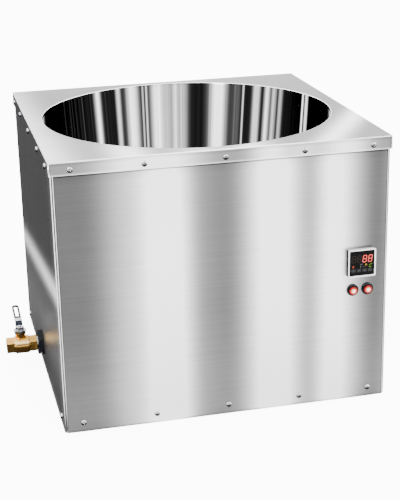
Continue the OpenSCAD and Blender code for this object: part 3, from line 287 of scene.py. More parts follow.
# Carries a value from one range to another, and holds it at the ends
def rescale(tree, value, source=(0.0, 1.0), target=(0.0, 1.0)):
    node = addNode(tree, "ShaderNodeMapRange", clamp=True)
    for socket, part in zip(node.inputs, (value, *source, *target)):
        feed(socket, part)
    return node.outputs[0]


def coordinates(tree, kind="Object"):
    return addNode(tree, "ShaderNodeTexCoord").outputs[kind]


def axisValues(tree, kind="Object"):
    return addNode(tree, "ShaderNodeSeparateXYZ", {"Vector": coordinates(tree, kind)}).outputs


def cameraRay(tree):
    return addNode(tree, "ShaderNodeLightPath").outputs["Is Camera Ray"]


def addNoise(tree, dimensions="3D", **inputs):
    return addNode(tree, "ShaderNodeTexNoise", inputs, noise_dimensions=dimensions).outputs["Fac"]


def newGroup(name, inputs, outputs):
    tree = bpy.data.node_groups.new(name, "ShaderNodeTree")
    for label, value in inputs.items():
        kind = "NodeSocketVector" if isinstance(value, tuple) else "NodeSocketFloat"
        socket = tree.interface.new_socket(name=label, in_out="INPUT", socket_type=kind)
        socket.default_value = value
    for label in outputs:
        tree.interface.new_socket(name=label, in_out="OUTPUT", socket_type="NodeSocketFloat")
    return tree, tree.nodes.new("NodeGroupInput").outputs, tree.nodes.new("NodeGroupOutput").inputs


# Fine straight streaks, stretched along the brushing
def makeGrainGroup(clip=(0.3, 0.7)):
    tree, given, result = newGroup("brushedGrain", {"Stretch": (4, 4, 900)}, ["Streak", "Height"])
    place = multiply(tree, coordinates(tree), given["Stretch"],
                     kind="ShaderNodeVectorMath", result="Vector")
    fine = addNoise(tree, Vector=place, Scale=1.0, Detail=3.0, Roughness=0.65)
    broad = addNoise(tree, Vector=place, Scale=0.23, Detail=2.0, Roughness=0.5)
    feed(result["Streak"], rescale(tree, blend(tree, fine, 0.5, broad), clip))
    feed(result["Height"], fine)
    return tree


# Large soft patches, as from wiping and handling, with a few finer ones in them
def makeSmudgeGroup(clip=(0.38, 0.62), fineness=6.0):
    tree, given, result = newGroup("handlingMarks", {"Size": 9.0}, ["Mask"])
    place = coordinates(tree)
    large = addNoise(tree, Vector=place, Scale=given["Size"], Detail=4.0, Distortion=0.8)
    fineSize = multiply(tree, given["Size"], fineness)
    small = addNoise(tree, Vector=place, Scale=fineSize, Detail=5.0)
    feed(result["Mask"], rescale(tree, blend(tree, small, 0.3, large), clip))
    return tree


# A bright band round one place of a scale, fading softly to both sides
def makeBandGroup():
    tree, given, result = newGroup(
        "softBand", {"Position": 0.0, "Centre": 0.0, "Width": 1.0, "Strength": 1.0}, ["Value"])
    offset = calculate(tree, "SUBTRACT", given["Position"], given["Centre"])
    away = calculate(tree, "DIVIDE", offset, given["Width"])
    square = multiply(tree, away, away)
    fall = calculate(tree, "EXPONENT", multiply(tree, square, -1.0))
    feed(result["Value"], multiply(tree, fall, given["Strength"]))
    return tree


# Small even grain, as of moulded or cast surfaces
def makeSpeckleGroup(clip=(0.35, 0.65)):
    tree, given, result = newGroup("fineSpeckle", {"Size": 1500.0}, ["Speckle", "Height"])
    noise = addNoise(tree, Vector=coordinates(tree), Scale=given["Size"], Detail=3.0, Roughness=0.6)
    feed(result["Speckle"], rescale(tree, noise, clip))
    feed(result["Height"], noise)
    return tree


# Painted shade: darker towards the faces that look down
def makeShadeGroup(turn=(-1.0, 0.8)):
    tree, given, result = newGroup(
        "undersideShade", {"Low": 0.3, "Middle": 0.0, "Reach": 0.5}, ["Value"])
    offset = calculate(tree, "SUBTRACT", axisValues(tree, "Normal")["Z"], given["Middle"])
    share = calculate(tree, "DIVIDE", offset, given["Reach"])
    feed(result["Value"], rescale(tree, share, turn, (given["Low"], 1.0)))
    return tree


groups = {"grain": makeGrainGroup(), "smudge": makeSmudgeGroup(), "band": makeBandGroup(),
          "speckle": makeSpeckleGroup(), "shade": makeShadeGroup()}


def useGroup(tree, name, **inputs):
    return addNode(tree, "ShaderNodeGroup", inputs, node_tree=groups[name]).outputs


def newMaterial(name, constants):
    material = bpy.data.materials.new(name)
    material.use_nodes = True
    shader = material.node_tree.nodes["Principled BSDF"]
    for key, value in constants.items():
        shader.inputs[key].default_value = value
    return material, material.node_tree, shader.inputs


def addBump(tree, shader, height, distance, strength):
    inputs = {"Height": height, "Distance": distance, "Strength": strength}
    feed(shader["Normal"], addNode(tree, "ShaderNodeBump", inputs).outputs["Normal"])


# Places that a band can be measured along: metres in a direction, or degrees round the pot

bandDirections = {
    "across": (1, 0, 0),
    "back": (0, 1, 0),
    "up": (0, 0, 1),
    "rising": (0, 0.13, 1),    # up the side panel, on a line that falls towards the back
    "slanting": (0.842, -0.539, 0),
}

bearingSettings = {
    "height": 0.4,    # height at which a band lies at its own bearing
    "lean": -100.0,    # degrees for each metre of height above that and each metre to the right
}


def bandPosition(tree, direction):
    if direction != "bearing":
        return calculate(tree, "DOT_PRODUCT", coordinates(tree), bandDirections[direction],
                         kind="ShaderNodeVectorMath", result="Value")
    parts = axisValues(tree)
    turned = calculate(tree, "DEGREES", calculate(tree, "ARCTAN2", parts["X"], parts["Y"]))
    rise = calculate(tree, "SUBTRACT", parts["Z"], bearingSettings["height"])
    lean = multiply(tree, rise, bearingSettings["lean"])
    return calculate(tree, "MULTIPLY_ADD", lean, parts["X"], turned)


def softBand(tree, position, centre, width, strength=1.0):
    return useGroup(tree, "band", Position=position, Centre=centre, Width=width,
                    Strength=strength)["Value"]


def addBands(tree, total, rows):
    for direction, bands in rows.items():
        position = bandPosition(tree, direction)
        for centre, width, strength in bands:
            total = calculate(tree, "ADD", total, softBand(tree, position, centre, width, strength))
    return total


# Painted reflection bands across that fade towards the back: centre, width, centre and width of the
# fade, strength
def addReflectionSpots(tree, total, spots):
    across, back = bandPosition(tree, "across"), bandPosition(tree, "back")
    for centre, width, fadeCentre, fadeWidth, strength in spots:
        fade = softBand(tree, back, fadeCentre, fadeWidth, strength)
        total = calculate(tree, "ADD", total, softBand(tree, across, centre, width, fade))
    return total


# Sheet steel. The cabinet's faces take copies of one steel, lighter or darker by how light falls on
# them.
# Its tone is a grey that painted reflection bands set, and streaks and smudges vary.
# Each band has its centre, width and strength. "grain" has the stretch and the contrasts of streaks
# and smudges, and "surface" the roughness, anisotropy and bump.

sheetSettings = {
    "brushed_steel": {
        "base": 0.078,
        # painted reflection bands across the front, and a painted brighter band along its foot
        "bands": {"up": [(0.0, 0.12, 0.07)], "across": [
            (-0.16, 0.036, 0.28), (-0.104, 0.034, 1.3), (-0.08, 0.024, 0.35),
            (-0.035, 0.03, 0.06), (0.022, 0.026, 0.03), (0.073, 0.034, 1.2), (0.098, 0.02, 0.3),
            (0.121, 0.022, 0.16), (0.182, 0.03, 1.1), (0.222, 0.02, 0.07), (0.285, 0.018, 0.12)]},
        # painted shadow lines under the cover's skirt, along the foot and beside the side folds
        "creases": {"up": [(0.4325, 0.0014, 0.7), (0.43, 0.008, 0.15), (0.002, 0.0012, 0.5)],
                    "across": [(-0.27, 0.0012, 0.4), (0.27, 0.0014, 0.65)]},
        "grain": ((5, 5, 1300), 0.09, 0.05),
        "surface": ((0.29, 0.37), 0.6, 1e-5)},
    "skirt_steel": {
        "base": 0.18,
        # painted reflection bands, and a painted highlight along the skirt's lower edge
        "bands": {"up": [(0.435, 0.0012, 0.3)], "across": [
            (-0.15, 0.045, 0.8), (-0.09, 0.045, 0.8), (0.072, 0.028, 0.8), (0.125, 0.03, 0.4),
            (0.195, 0.036, 0.85)]},
        # painted dark lines along the skirt's top and at its right end
        "creases": {"up": [(0.4515, 0.0012, 0.25)], "across": [(0.2735, 0.0012, 0.5)]},
        "grain": ((5, 5, 1300), 0.05, 0.05),
        "surface": ((0.285, 0.35), 0.5, 1e-5)},
    "cover_steel": {
        "base": 0.13,
        # painted reflection bands, and painted reflections that fade towards the back
        "bands": {"across": [(-0.285, 0.035, 0.5)], "slanting": [(0.289, 0.022, 0.8)]},
        "spots": [(-0.15, 0.032, -0.27, 0.11, 0.85), (-0.04, 0.045, -0.27, 0.1, 0.35),
                  (0.045, 0.032, -0.27, 0.1, 0.6), (-0.26, 0.04, -0.27, 0.25, 0.25),
                  (0.08, 0.06, 0.27, 0.06, 0.1)],
        # painted dark line along the back edge
        "creases": {"back": [(0.2672, 0.003, 0.6)]},
        "grain": ((5, 700, 700), 0.07, 0.12),
        "surface": ((0.285, 0.35), 0.5, 1e-5)},
    "pot_floor": {
        # painted reflection bands on the pot's floor
        "base": 0.3, "bands": {"across": [(-0.05, 0.11, 0.3)], "back": [(0.1, 0.09, 0.15)]},
        "grain": ((60, 60, 60), 0.04, 0.15),
        "surface": ((0.285, 0.35), 0.0, 4e-6)},
    "edge_steel": {
        # bright steel for the bends and the hole's crest: a painted highlight
        "base": 0.95, "bands": {},
        "grain": ((6, 6, 300), 0.05, 0.08),
        "surface": ((0.18, 0.26), 0.2, 6e-6)},
    "side_steel": {
        "base": 0.09,
        # painted reflection bands: a slanting bright band, and a lighter band by the front fold
        "bands": {"rising": [(0.208, 0.022, 0.75), (0.1, 0.09, 0.2)],
                  "back": [(-0.262, 0.03, 0.15)]},
        # the painted highlight band, where the steel is made non-metallic
        "dull": {"rising": [(0.208, 0.022, 0.9), (0.1, 0.09, 0.2)]},
        # painted shadow lines by the front and back folds
        "creases": {"back": [(-0.2654, 0.0008, 0.9), (0.2654, 0.0008, 0.9)]},
        "grain": ((5, 5, 90), 0.03, 0.1),
        "surface": ((0.285, 0.33), 0.0, 0.0)},
}

steelLook = {
    "smudgeSize": 7.0, "streakShare": 0.6, "bumpStrength": 0.6,
    "tint": (1, 0.997, 0.995, 1),
}


# Grain, smudges and tone of a sheet's or the pot's steel. The tone holds the painted reflection
# bands and the painted shadow lines.
def steelTone(tree, settings):
    stretch, streakContrast, smudgeContrast = settings["grain"]
    grain = useGroup(tree, "grain", Stretch=stretch)
    smudge = useGroup(tree, "smudge", Size=steelLook["smudgeSize"])["Mask"]
    tone = addBands(tree, settings["base"], settings["bands"])
    tone = addReflectionSpots(tree, tone, settings.get("spots", []))
    if "creases" in settings:    # painted shadow lines beside the folds and under the cover
        dark = addBands(tree, 0.0, settings["creases"])
        light = calculate(tree, "SUBTRACT", 1.0, dark, use_clamp=True)
        tone = multiply(tree, tone, light)
    streak = rescale(tree, grain["Streak"], target=(1.0 - streakContrast, 1.0 + streakContrast))
    tone = multiply(tree, tone, streak)
    handled = rescale(tree, smudge, target=(1.0, 1.0 - smudgeContrast))
    return grain, smudge, multiply(tree, tone, handled, use_clamp=True)


def makeSheetSteel(name, settings):
    roughness, anisotropic, bump = settings["surface"]
    material, tree, shader = newMaterial(name, {"Metallic": 1.0, "Anisotropic": anisotropic})
    grain, smudge, tone = steelTone(tree, settings)
    feed(shader["Base Color"], mixColours(tree, tone, black, steelLook["tint"]))
    if "dull" in settings:    # painted highlight bands, made non-metallic so that they look the same from all sides
        dull = addBands(tree, 0.0, settings["dull"])
        feed(shader["Metallic"], calculate(tree, "SUBTRACT", 1.0, dull, use_clamp=True))
    rough = blend(tree, grain["Streak"], steelLook["streakShare"], smudge)
    feed(shader["Roughness"], rescale(tree, rough, target=roughness))
    if bump:
        addBump(tree, shader, grain["Height"], bump, steelLook["bumpStrength"])
    return material


# Polished pot: painted reflection bands upright on the wall, with fine lines in them and faint ones
# between them.
# Light that has bounced in the pot finds an even tone there: to it the wall is black and glows
# white, though the pot is no lamp.

potSettings = {
    "base": 0.005,
    # painted reflection bands, at bearings in degrees round the pot
    "bands": {"bearing": [
        (-29, 1.2, 0.9), (-18.4, 0.9, 0.5), (-11.7, 2.0, 1.1), (-6.8, 0.35, 0.4), (-5.2, 0.4, 0.5),
        (-0.4, 2.0, 1.1), (4, 2.2, 0.35), (7.6, 0.9, 0.7), (10.6, 2.0, 0.35), (26.7, 2.6, 1.3),
        (35, 1.6, 0.05), (38.2, 0.35, 0.5), (44.6, 1.3, 0.7), (50, 1.0, 0.8), (53.6, 1.1, 0.4),
        (57.3, 0.9, 0.3), (71.2, 0.5, 0.9), (73.9, 0.8, 1.0), (112, 8, 0.4), (140, 5, 0.8),
        (163, 7, 0.6), (-78, 3, 0.05), (-100, 6, 0.4), (-125, 4, 0.8), (-150, 6, 0.5),
        (-172, 3, 0.7)]},
    "grain": ((55, 55, 1.5), 0.1, 0.05),
    "density": 0.75, "lines": ((0.3, 0.7), (0.6, 1.3)),    # of the noise, and the tone it gives
    # the faint painted reflection lines between the bands
    "faintLines": (0.5, 0.75), "faint": {"bearing": [(-58, 24, 0.045), (90, 10, 0.03)]},
    # bounced: strength of the white glow that bounced light finds on the wall
    "roughness": (0.12, 0.2), "bounced": 3.2, "grazing": (0.08, 0.08, 0.08, 1),
}


def makePotSteel(name, settings):
    material, tree, shader = newMaterial(name, {
        "Metallic": 1.0, "Emission Strength": settings["bounced"],
        "Specular Tint": settings["grazing"]})
    _, smudge, tone = steelTone(tree, settings)
    lines = addNoise(tree, "1D", W=bandPosition(tree, "bearing"), Scale=settings["density"],
                     Detail=3.0, Roughness=0.7)
    tone = multiply(tree, tone, rescale(tree, lines, *settings["lines"]))
    faint = multiply(tree, rescale(tree, lines, settings["faintLines"]),
                     addBands(tree, 0.0, settings["faint"]))
    tone = calculate(tree, "ADD", tone, faint, use_clamp=True)
    # Camera rays see the painted bands; to other rays the wall is black and glows white
    seen = cameraRay(tree)
    tone = multiply(tree, tone, seen)
    feed(shader["Base Color"], mixColours(tree, tone, black, steelLook["tint"]))
    feed(shader["Emission Color"], mixColours(tree, seen, white, black))
    feed(shader["Roughness"], rescale(tree, smudge, target=settings["roughness"]))
    return material


# Grain and smudges of the pieces that aren't sheet, with their roughness and bump

grainSettings = {    # size of the smudges and their share of the tone
    "metal": (90.0, 0.55),
    "plain": (60.0, 0.5),
    "bumpStrength": 0.5,
}

paintedHighlights = {    # painted highlights: upward part of the normal where a lamp's stripe is painted, width of the stripe, colour
    "brass": (0.48, 0.13, (1.0, 0.78, 0.36)),
    "black_gloss": (0.66, 0.07, (0.05, 0.06, 0.075)),
    "nut_gloss": (0.14, 0.09, (0.05, 0.055, 0.065)),
}


def layGrain(tree, shader, kind, roughness, size, bump):
    smudgeSize, share = grainSettings[kind]
    speckle = useGroup(tree, "speckle", Size=size)
    smudge = useGroup(tree, "smudge", Size=smudgeSize)["Mask"]
    tone = blend(tree, smudge, share, speckle["Speckle"])
    feed(shader["Roughness"], rescale(tree, tone, target=roughness))
    addBump(tree, shader, speckle["Height"], bump, grainSettings["bumpStrength"])
    return tone


# Painted highlight: a lighter stripe along the faces that slope up, where a lamp would show in a
# turned piece
def addPaintedHighlight(tree, colour, name):
    if name not in paintedHighlights:
        return colour
    slope, width, shine = paintedHighlights[name]
    stripe = softBand(tree, axisValues(tree, "Normal")["Z"], slope, width)
    return mixColours(tree, stripe, colour, solid(shine))


# Turned, cast and plated metals, with painted shade on their undersides

metalSettings = {    # dark, light, share of light that the painted shade leaves on the underside, roughness, grain size, bump
    "screw_steel": ((0.35, 0.35, 0.36), (0.95, 0.95, 0.96), 0.02, (0.12, 0.26), 900, 8e-6),
    "lever_steel": ((0.22, 0.23, 0.25), (0.92, 0.92, 0.93), 0.05, (0.08, 0.2), 700, 6e-6),
    # dark steel of the lever's grip and rim, and the painted dark reflection on its ramp
    "rim_steel": ((0.006, 0.008, 0.012), (0.03, 0.036, 0.05), 0.4, (0.15, 0.26), 700, 6e-6),
    "chrome": ((0.65, 0.65, 0.66), (0.92, 0.92, 0.93), 0.3, (0.05, 0.12), 500, 3e-6),
    "heater_aluminium": ((0.45, 0.46, 0.47), (0.75, 0.76, 0.77), 0.5, (0.35, 0.55), 1200, 3e-5),
    "brass": ((0.46, 0.23, 0.048), (0.88, 0.51, 0.13), 0.75, (0.14, 0.26), 1400, 2e-5),
}

# Upward part of the normal where the painted shade on the underside begins, and the reach of its
# edge
undersides = {"screw_steel": (0.1, 0.16), "other": (0.0, 0.5)}


def makeMetal(name, row):
    dark, light, under, roughness, size, bump = row
    material, tree, shader = newMaterial(name, {"Metallic": 1.0})
    tone = layGrain(tree, shader, "metal", roughness, size, bump)
    middle, reach = undersides.get(name, undersides["other"])
    # painted shade towards the underside
    shade = useGroup(tree, "shade", Low=under, Middle=middle, Reach=reach)["Value"]
    colour = addPaintedHighlight(tree, mixColours(tree, tone, solid(light), solid(dark)), name)
    feed(shader["Base Color"], mixColours(tree, shade, black, colour))
    return material


# Plastics, rubber, mineral wool and other finishes that aren't metal

plainSettings = {    # dark, light, gloss, roughness, grain size, bump
    "black_plastic": ((0.01, 0.01, 0.011), (0.022, 0.022, 0.024), 0.2, (0.38, 0.55), 1800, 4e-5),
    "black_gloss": ((0.002, 0.002, 0.0025), (0.007, 0.008, 0.01), 0.05, (0.08, 0.22), 600, 1e-5),
    "nut_gloss": ((0.003, 0.003, 0.004), (0.01, 0.011, 0.013), 0.15, (0.08, 0.22), 600, 1e-5),
    "black_face": ((0.001, 0.001, 0.001), (0.003, 0.003, 0.003), 0.05, (0.14, 0.26), 900, 6e-6),
    "light_rim": ((0.78, 0.78, 0.79), (0.92, 0.92, 0.93), 0.5, (0.29, 0.4), 1300, 2e-5),
    # painted light grey on the black case's top, and painted shade on the case's and the rim's
    # sides
    "case_top": ((0.32, 0.32, 0.33), (0.42, 0.42, 0.43), 0.4, (0.3, 0.45), 1500, 2e-5),
    "case_side": ((0.001, 0.001, 0.001), (0.004, 0.004, 0.004), 0.02, (0.5, 0.7), 1500, 2e-5),
    "key_grey": ((0.01, 0.01, 0.011), (0.022, 0.022, 0.023), 0.1, (0.35, 0.5), 1600, 3e-5),
    "black_rubber": ((0.006, 0.006, 0.006), (0.016, 0.016, 0.016), 0.15, (0.5, 0.75), 1200, 5e-5),
    "seat_white": ((0.75, 0.75, 0.73), (0.92, 0.92, 0.9), 0.5, (0.3, 0.45), 900, 1e-5),
    "pale_plastic": ((0.66, 0.63, 0.55), (0.84, 0.82, 0.74), 0.5, (0.4, 0.6), 1300, 3e-5),
    "circuit_board": ((0.01, 0.1, 0.045), (0.03, 0.22, 0.09), 0.5, (0.3, 0.5), 500, 3e-5),
    "mica": ((0.38, 0.29, 0.17), (0.62, 0.52, 0.36), 0.5, (0.4, 0.7), 260, 0.0001),
    "insulation": ((0.62, 0.56, 0.42), (0.86, 0.82, 0.72), 0.2, (0.8, 1.0), 320, 0.0006),
    "wire_red": ((0.35, 0.05, 0.03), (0.58, 0.1, 0.07), 0.4, (0.5, 0.75), 1500, 0.0001),
    "wire_white": ((0.7, 0.7, 0.67), (0.86, 0.86, 0.84), 0.4, (0.45, 0.7), 1500, 0.0001),
    "white_mark": ((0.045, 0.045, 0.047), (0.075, 0.075, 0.08), 0.1, (0.5, 0.7), 2000, 5e-6),
    "unlit_digit": ((0.01, 0.008, 0.007), (0.019, 0.015, 0.013), 0.05, (0.35, 0.5), 2000, 5e-6),
}


def makePlain(name, row):
    dark, light, gloss, roughness, size, bump = row
    material, tree, shader = newMaterial(name, {"Specular IOR Level": gloss})
    tone = layGrain(tree, shader, "plain", roughness, size, bump)
    colour = addPaintedHighlight(tree, mixColours(tree, tone, solid(dark), solid(light)), name)
    feed(shader["Base Color"], colour)
    return material


# Lit display marks: glowing, paler in small patches

lightSettings = {    # edge, core, strength
    "lit_red": ((1.0, 0.006, 0.004), (1.0, 0.02, 0.012), 0.9),
    "lit_core": ((1.0, 0.16, 0.13), (1.0, 0.26, 0.22), 2.2),
    "lit_orange": ((0.75, 0.1, 0.04), (0.9, 0.16, 0.08), 0.35),
    "lit_yellow": ((0.62, 0.36, 0.02), (0.8, 0.5, 0.04), 0.6),
    "lit_green": ((0.16, 0.42, 0.01), (0.26, 0.6, 0.02), 0.5),
}


# A glowing surface reflects only the undarkened part of its own colour
def feedGlow(tree, shader, colour, darkening):
    feed(shader["Base Color"], mixColours(tree, darkening, colour, black))
    feed(shader["Emission Color"], colour)


def makeLight(name, row):
    edge, core, strength = row
    material, tree, shader = newMaterial(name, {
        "Emission Strength": strength, "Roughness": 0.4, "Specular IOR Level": 0.1})
    speckle = useGroup(tree, "speckle", Size=2500.0)["Speckle"]
    feedGlow(tree, shader, mixColours(tree, speckle, solid(edge), solid(core)), darkening=0.9)
    return material


# Lens of the lit switches: white-hot in the middle, red towards the edge

lensSettings = {
    "leftX": 0.21375, "rightX": 0.23945, "splitX": 0.2266, "z": 0.1976,
    "radius": 0.0076, "unevenness": 0.05,
    "core": (1.0, 0.7, 0.54, 1), "glow": (0.12, 0.002, 0.0005, 1),
    "edge": (0.005, 0.0001, 0.0001, 1),
    "coreReach": (0.04, 0.66), "coreFall": 0.45, "glowReach": (0.74, 1.0),
    "strength": 9.0,
}


def makeLens(settings):
    material, tree, shader = newMaterial("red_lens", {
        "Emission Strength": settings["strength"], "Roughness": 0.12, "Specular IOR Level": 0.2})
    parts = axisValues(tree)
    onRight = calculate(tree, "GREATER_THAN", parts["X"], settings["splitX"])
    middle = calculate(tree, "MULTIPLY_ADD", onRight, settings["rightX"] - settings["leftX"],
                       settings["leftX"])
    offX = calculate(tree, "SUBTRACT", parts["X"], middle)
    offZ = calculate(tree, "SUBTRACT", parts["Z"], settings["z"])
    squares = calculate(tree, "MULTIPLY_ADD", offX, offX, multiply(tree, offZ, offZ))
    share = calculate(tree, "DIVIDE", calculate(tree, "SQRT", squares), settings["radius"])
    speckle = useGroup(tree, "speckle", Size=900.0)["Speckle"]
    share = calculate(tree, "MULTIPLY_ADD", speckle, settings["unevenness"], share)
    fall = calculate(tree, "POWER", rescale(tree, share, settings["coreReach"]),
                     settings["coreFall"])
    inner = mixColours(tree, fall, settings["core"], settings["glow"])
    colour = mixColours(tree, rescale(tree, share, settings["glowReach"]), inner, settings["edge"])
    feedGlow(tree, shader, colour, darkening=0.8)
    return material


finishes = {}
for make, table in ((makeSheetSteel, sheetSettings), (makeMetal, metalSettings),
                    (makePlain, plainSettings), (makeLight, lightSettings)):
    for slotName, row in table.items():
        finishes[slotName] = make(slotName, row)
finishes["red_lens"] = makeLens(lensSettings)
finishes["polished_steel"] = makePotSteel("polished_steel", potSettings)

for subpart in record["subparts"]:
    mesh = nodes[subpart["node"]].data
    if not mesh.materials:
        mesh.materials.append(None)
    for index in range(len(mesh.materials)):
        mesh.materials[index] = finishes[subpart["material_slot"]]
print("materials:", len(finishes))


# Cabinet sheets and pot: the CAD shapes with broken edges and smooth bends

sheetPieces = {    # node: (edge rounding, finish)
    "front_panel": (0.0002, "brushed_steel"),
    "rear_panel": (0.0002, "brushed_steel"),
    "left_panel": (0.0002, "side_steel"),
    "right_panel": (0.0002, "side_steel"),
    "base_tray": (0.0002, "side_steel"),
    "top_cover": (0.0, "brushed_steel"),
    "melting_pot": (0.0, "polished_steel"),
}

sheets = {node: dress(node, "dressed_" + node, slotName, rounding, segments=1)
          for node, (rounding, slotName) in sheetPieces.items()}


# Which finish a face of the sheets has, by the way it faces and by its place. The bends take a
# painted highlight, those at the back the darker side steel instead. The drawn edge of the hole has
# the pot's finish, with a painted highlight on its crest.

faceLimits = {
    "level": 0.985, "crest": 0.86,    # upward part of the normal on the cover's flat, on the crest
    "facing": 0.7,    # part of the normal along an axis, from which a face looks that way
    "bend": 0.94,    # part of the normal along any axis, below which a face is in a bend
    "holeReach": 0.2532, "rearY": 0.2, "floorZ": 0.1,
}


def layFinishes(piece, names, choose):
    mesh = piece.data
    mesh.materials.clear()
    for name in names:
        mesh.materials.append(finishes[name])
    for face in mesh.polygons:
        face.material_index = names.index(choose(face.center, face.normal))


def isBend(normal):
    return max(abs(part) for part in normal) < faceLimits["bend"]


def chooseForCover(centre, normal):
    if normal.z > faceLimits["level"]:
        return "cover_steel"
    if math.hypot(centre.x, centre.y) < faceLimits["holeReach"]:
        return "edge_steel" if normal.z > faceLimits["crest"] else "polished_steel"
    if isBend(normal):
        return "side_steel" if centre.y > faceLimits["rearY"] else "edge_steel"
    if abs(normal.x) > faceLimits["facing"]:
        return "side_steel"
    return "skirt_steel" if abs(normal.y) > faceLimits["facing"] else "cover_steel"


def chooseForFront(centre, normal):
    if isBend(normal):
        return "edge_steel"
    return "brushed_steel" if abs(normal.y) > faceLimits["facing"] else "side_steel"


def chooseForPot(centre, normal):
    onFloor = normal.z > faceLimits["facing"] and centre.z < faceLimits["floorZ"]
    return "pot_floor" if onFloor else "polished_steel"


def chooseForSide(centre, normal):
    return "edge_steel" if isBend(normal) else "side_steel"


layFinishes(sheets["top_cover"], ["cover_steel", "skirt_steel", "side_steel", "edge_steel",
                                  "polished_steel"], chooseForCover)
for name in ("front_panel", "rear_panel"):
    layFinishes(sheets[name], ["brushed_steel", "side_steel", "edge_steel"], chooseForFront)
for name in ("left_panel", "right_panel"):
    layFinishes(sheets[name], ["side_steel", "edge_steel"], chooseForSide)
layFinishes(sheets["melting_pot"], ["polished_steel", "pot_floor"], chooseForPot)
print("sheets:", len(sheets))


# Weld bead where the outlet pipe meets the pot's wall

weldSettings = {"place": (-0.2497, 0.013, 0.047), "radius": 0.0116, "bead": 0.0013,
                "ripples": 44, "rippleShare": 0.012, "ringSteps": 176, "beadSteps": 10}


def makeWeld(settings):
    weld = addPrimitive(
        "torus", "outlet_weld", location=settings["place"], rotation=(0, math.radians(90), 0),
        major_radius=settings["radius"], minor_radius=settings["bead"],
        major_segments=settings["ringSteps"], minor_segments=settings["beadSteps"])
    middle = Vector(settings["place"])
    for point in weld.data.vertices:    # ripples of the bead
        away = point.co - middle
        turn = math.atan2(away.z, away.y) * settings["ripples"]
        point.co = middle + away * (1 + settings["rippleShare"] * math.sin(turn))
    smooth(weld, angle=60)
    finishPiece(weld, "polished_steel", look="screw_steel")


makeWeld(weldSettings)


# Pan-head screws with a cross recess

screwSettings = {
    "outline": [(0.0, -0.009), (0.0016, -0.009), (0.002, -0.0086), (0.002, 0.0), (0.0046, 0.0),
                (0.00475, 0.00015), (0.00475, 0.0008), (0.00462, 0.00125), (0.0042, 0.00175),
                (0.0034, 0.00226), (0.0024, 0.0026), (0.0012, 0.00276), (0.0, 0.0028)],
    "steps": 40,
    "recess": (0.0024, 0.0006, 0.0016),    # half length, half width and depth
    "recessZ": 0.0031, "recessTaper": (0.5, 0.7, 1),
    "edge": 0.00012, "edgeAngle": 50,
    "seed": 7,
    "rows": {    # piece: node, X along the front, Y along the sides, half width, half depth, height
        "cover_screw_heads": ("cover_screws", (-0.244, -0.129, 0.0, 0.129, 0.244),
                              (-0.2365, -0.129, 0.0, 0.129, 0.2365), 0.2775, 0.27, 0.4428),
        "base_screw_heads": ("base_screws", (-0.244, -0.122, 0.0, 0.122, 0.244),
                             (-0.2335, 0.2335), 0.275, 0.2675, 0.017),
    },
}


def makeScrew(settings):
    screw = lathe("screw", settings["outline"], settings["steps"])
    for turn in (0, 90):
        bar = addPrimitive("cube", "recess_bar", size=2, location=(0, 0, settings["recessZ"]),
                           scale=settings["recess"])
        pick(bar, "FACE", lambda face: face.normal.z < -faceLimits["facing"])
        bpy.ops.transform.resize(value=settings["recessTaper"])
        leaveEdit()
        bar.rotation_euler = (0, 0, math.radians(turn))
        bpy.ops.object.transform_apply(rotation=True)
        applyModifier(screw, "BOOLEAN", operation="DIFFERENCE", object=bar, solver="EXACT")
        bpy.data.objects.remove(bar)
    bevelEdges(screw, settings["edge"], 1, settings["edgeAngle"])
    return smooth(screw)


def placeScrews(master, name, node, places):
    spin = random.Random(screwSettings["seed"])
    copies = []
    for place, facing in places:
        quarter = Matrix.Rotation(math.radians(spin.uniform(0, 90)), 3, "Z")
        turn = Vector((0, 0, 1)).rotation_difference(Vector(facing)).to_matrix() @ quarter
        copies.append(copyPiece(master, name + "_part", place, turn.to_euler()))
    finishPiece(joinPieces(copies, name), "screw_steel", node)


def screwRows(xs, ys, halfX, halfY, z):
    rows = [((x, side * halfY, z), (0, side, 0)) for side in (-1, 1) for x in xs]
    return rows + [((side * halfX, y, z), (side, 0, 0)) for side in (-1, 1) for y in ys]


screw = makeScrew(screwSettings)
for name, (node, *row) in screwSettings["rows"].items():
    placeScrews(screw, name, node, screwRows(*row))
bpy.data.objects.remove(screw)
print("screws placed")


# Controller: rim, case, face with a raised window, digits, marks and keys

controllerSettings = {
    "middle": (0.2266, 0.246),    # X and Z
    "faceY": -0.2745,
    "roundings": {"rim": 0.0005, "case": 0.0003, "face": 0.0001},
    "rimReach": 0.0232, "rimFront": -0.7,    # place and normal where the painted shade on the rim's sides begins
    "caseTop": 0.8,    # upward part of the normal on the case's top, painted pale as lit
    "window": (0.04, 0.0285, 0.0004, 0.0053),    # width, height, thickness, rise over the middle
    "windowBorder": 0.0005, "windowRise": 0.00008, "windowRounding": 0.0001,
    "digitSize": (0.0057, 0.0113),    # width and height between the middles of the segments
    "digitRise": 0.0072, "slant": 0.13,
    "segmentWidth": 0.0017, "coreWidth": 0.0007,
    "segmentShare": 0.9,    # of the side of the digit that a segment lies on
    "digits": [(-0.0141, "unlit_digit"), (-0.0046, "unlit_digit"), (0.0049, "lit_red"),
               (0.0144, "lit_red")],
    "markLift": 0.00012, "markDepth": 0.0003,
}


def onFace(u, v, lift=0.0):
    x, z = controllerSettings["middle"]
    return (x + u, controllerSettings["faceY"] - lift, z + v)


# Place of a mark on the window, or on as many layers of marks above it
def onWindow(u, v, layers=1):
    front = controllerSettings["window"][2] + controllerSettings["windowRise"]
    return onFace(u, v, front + layers * controllerSettings["markLift"])


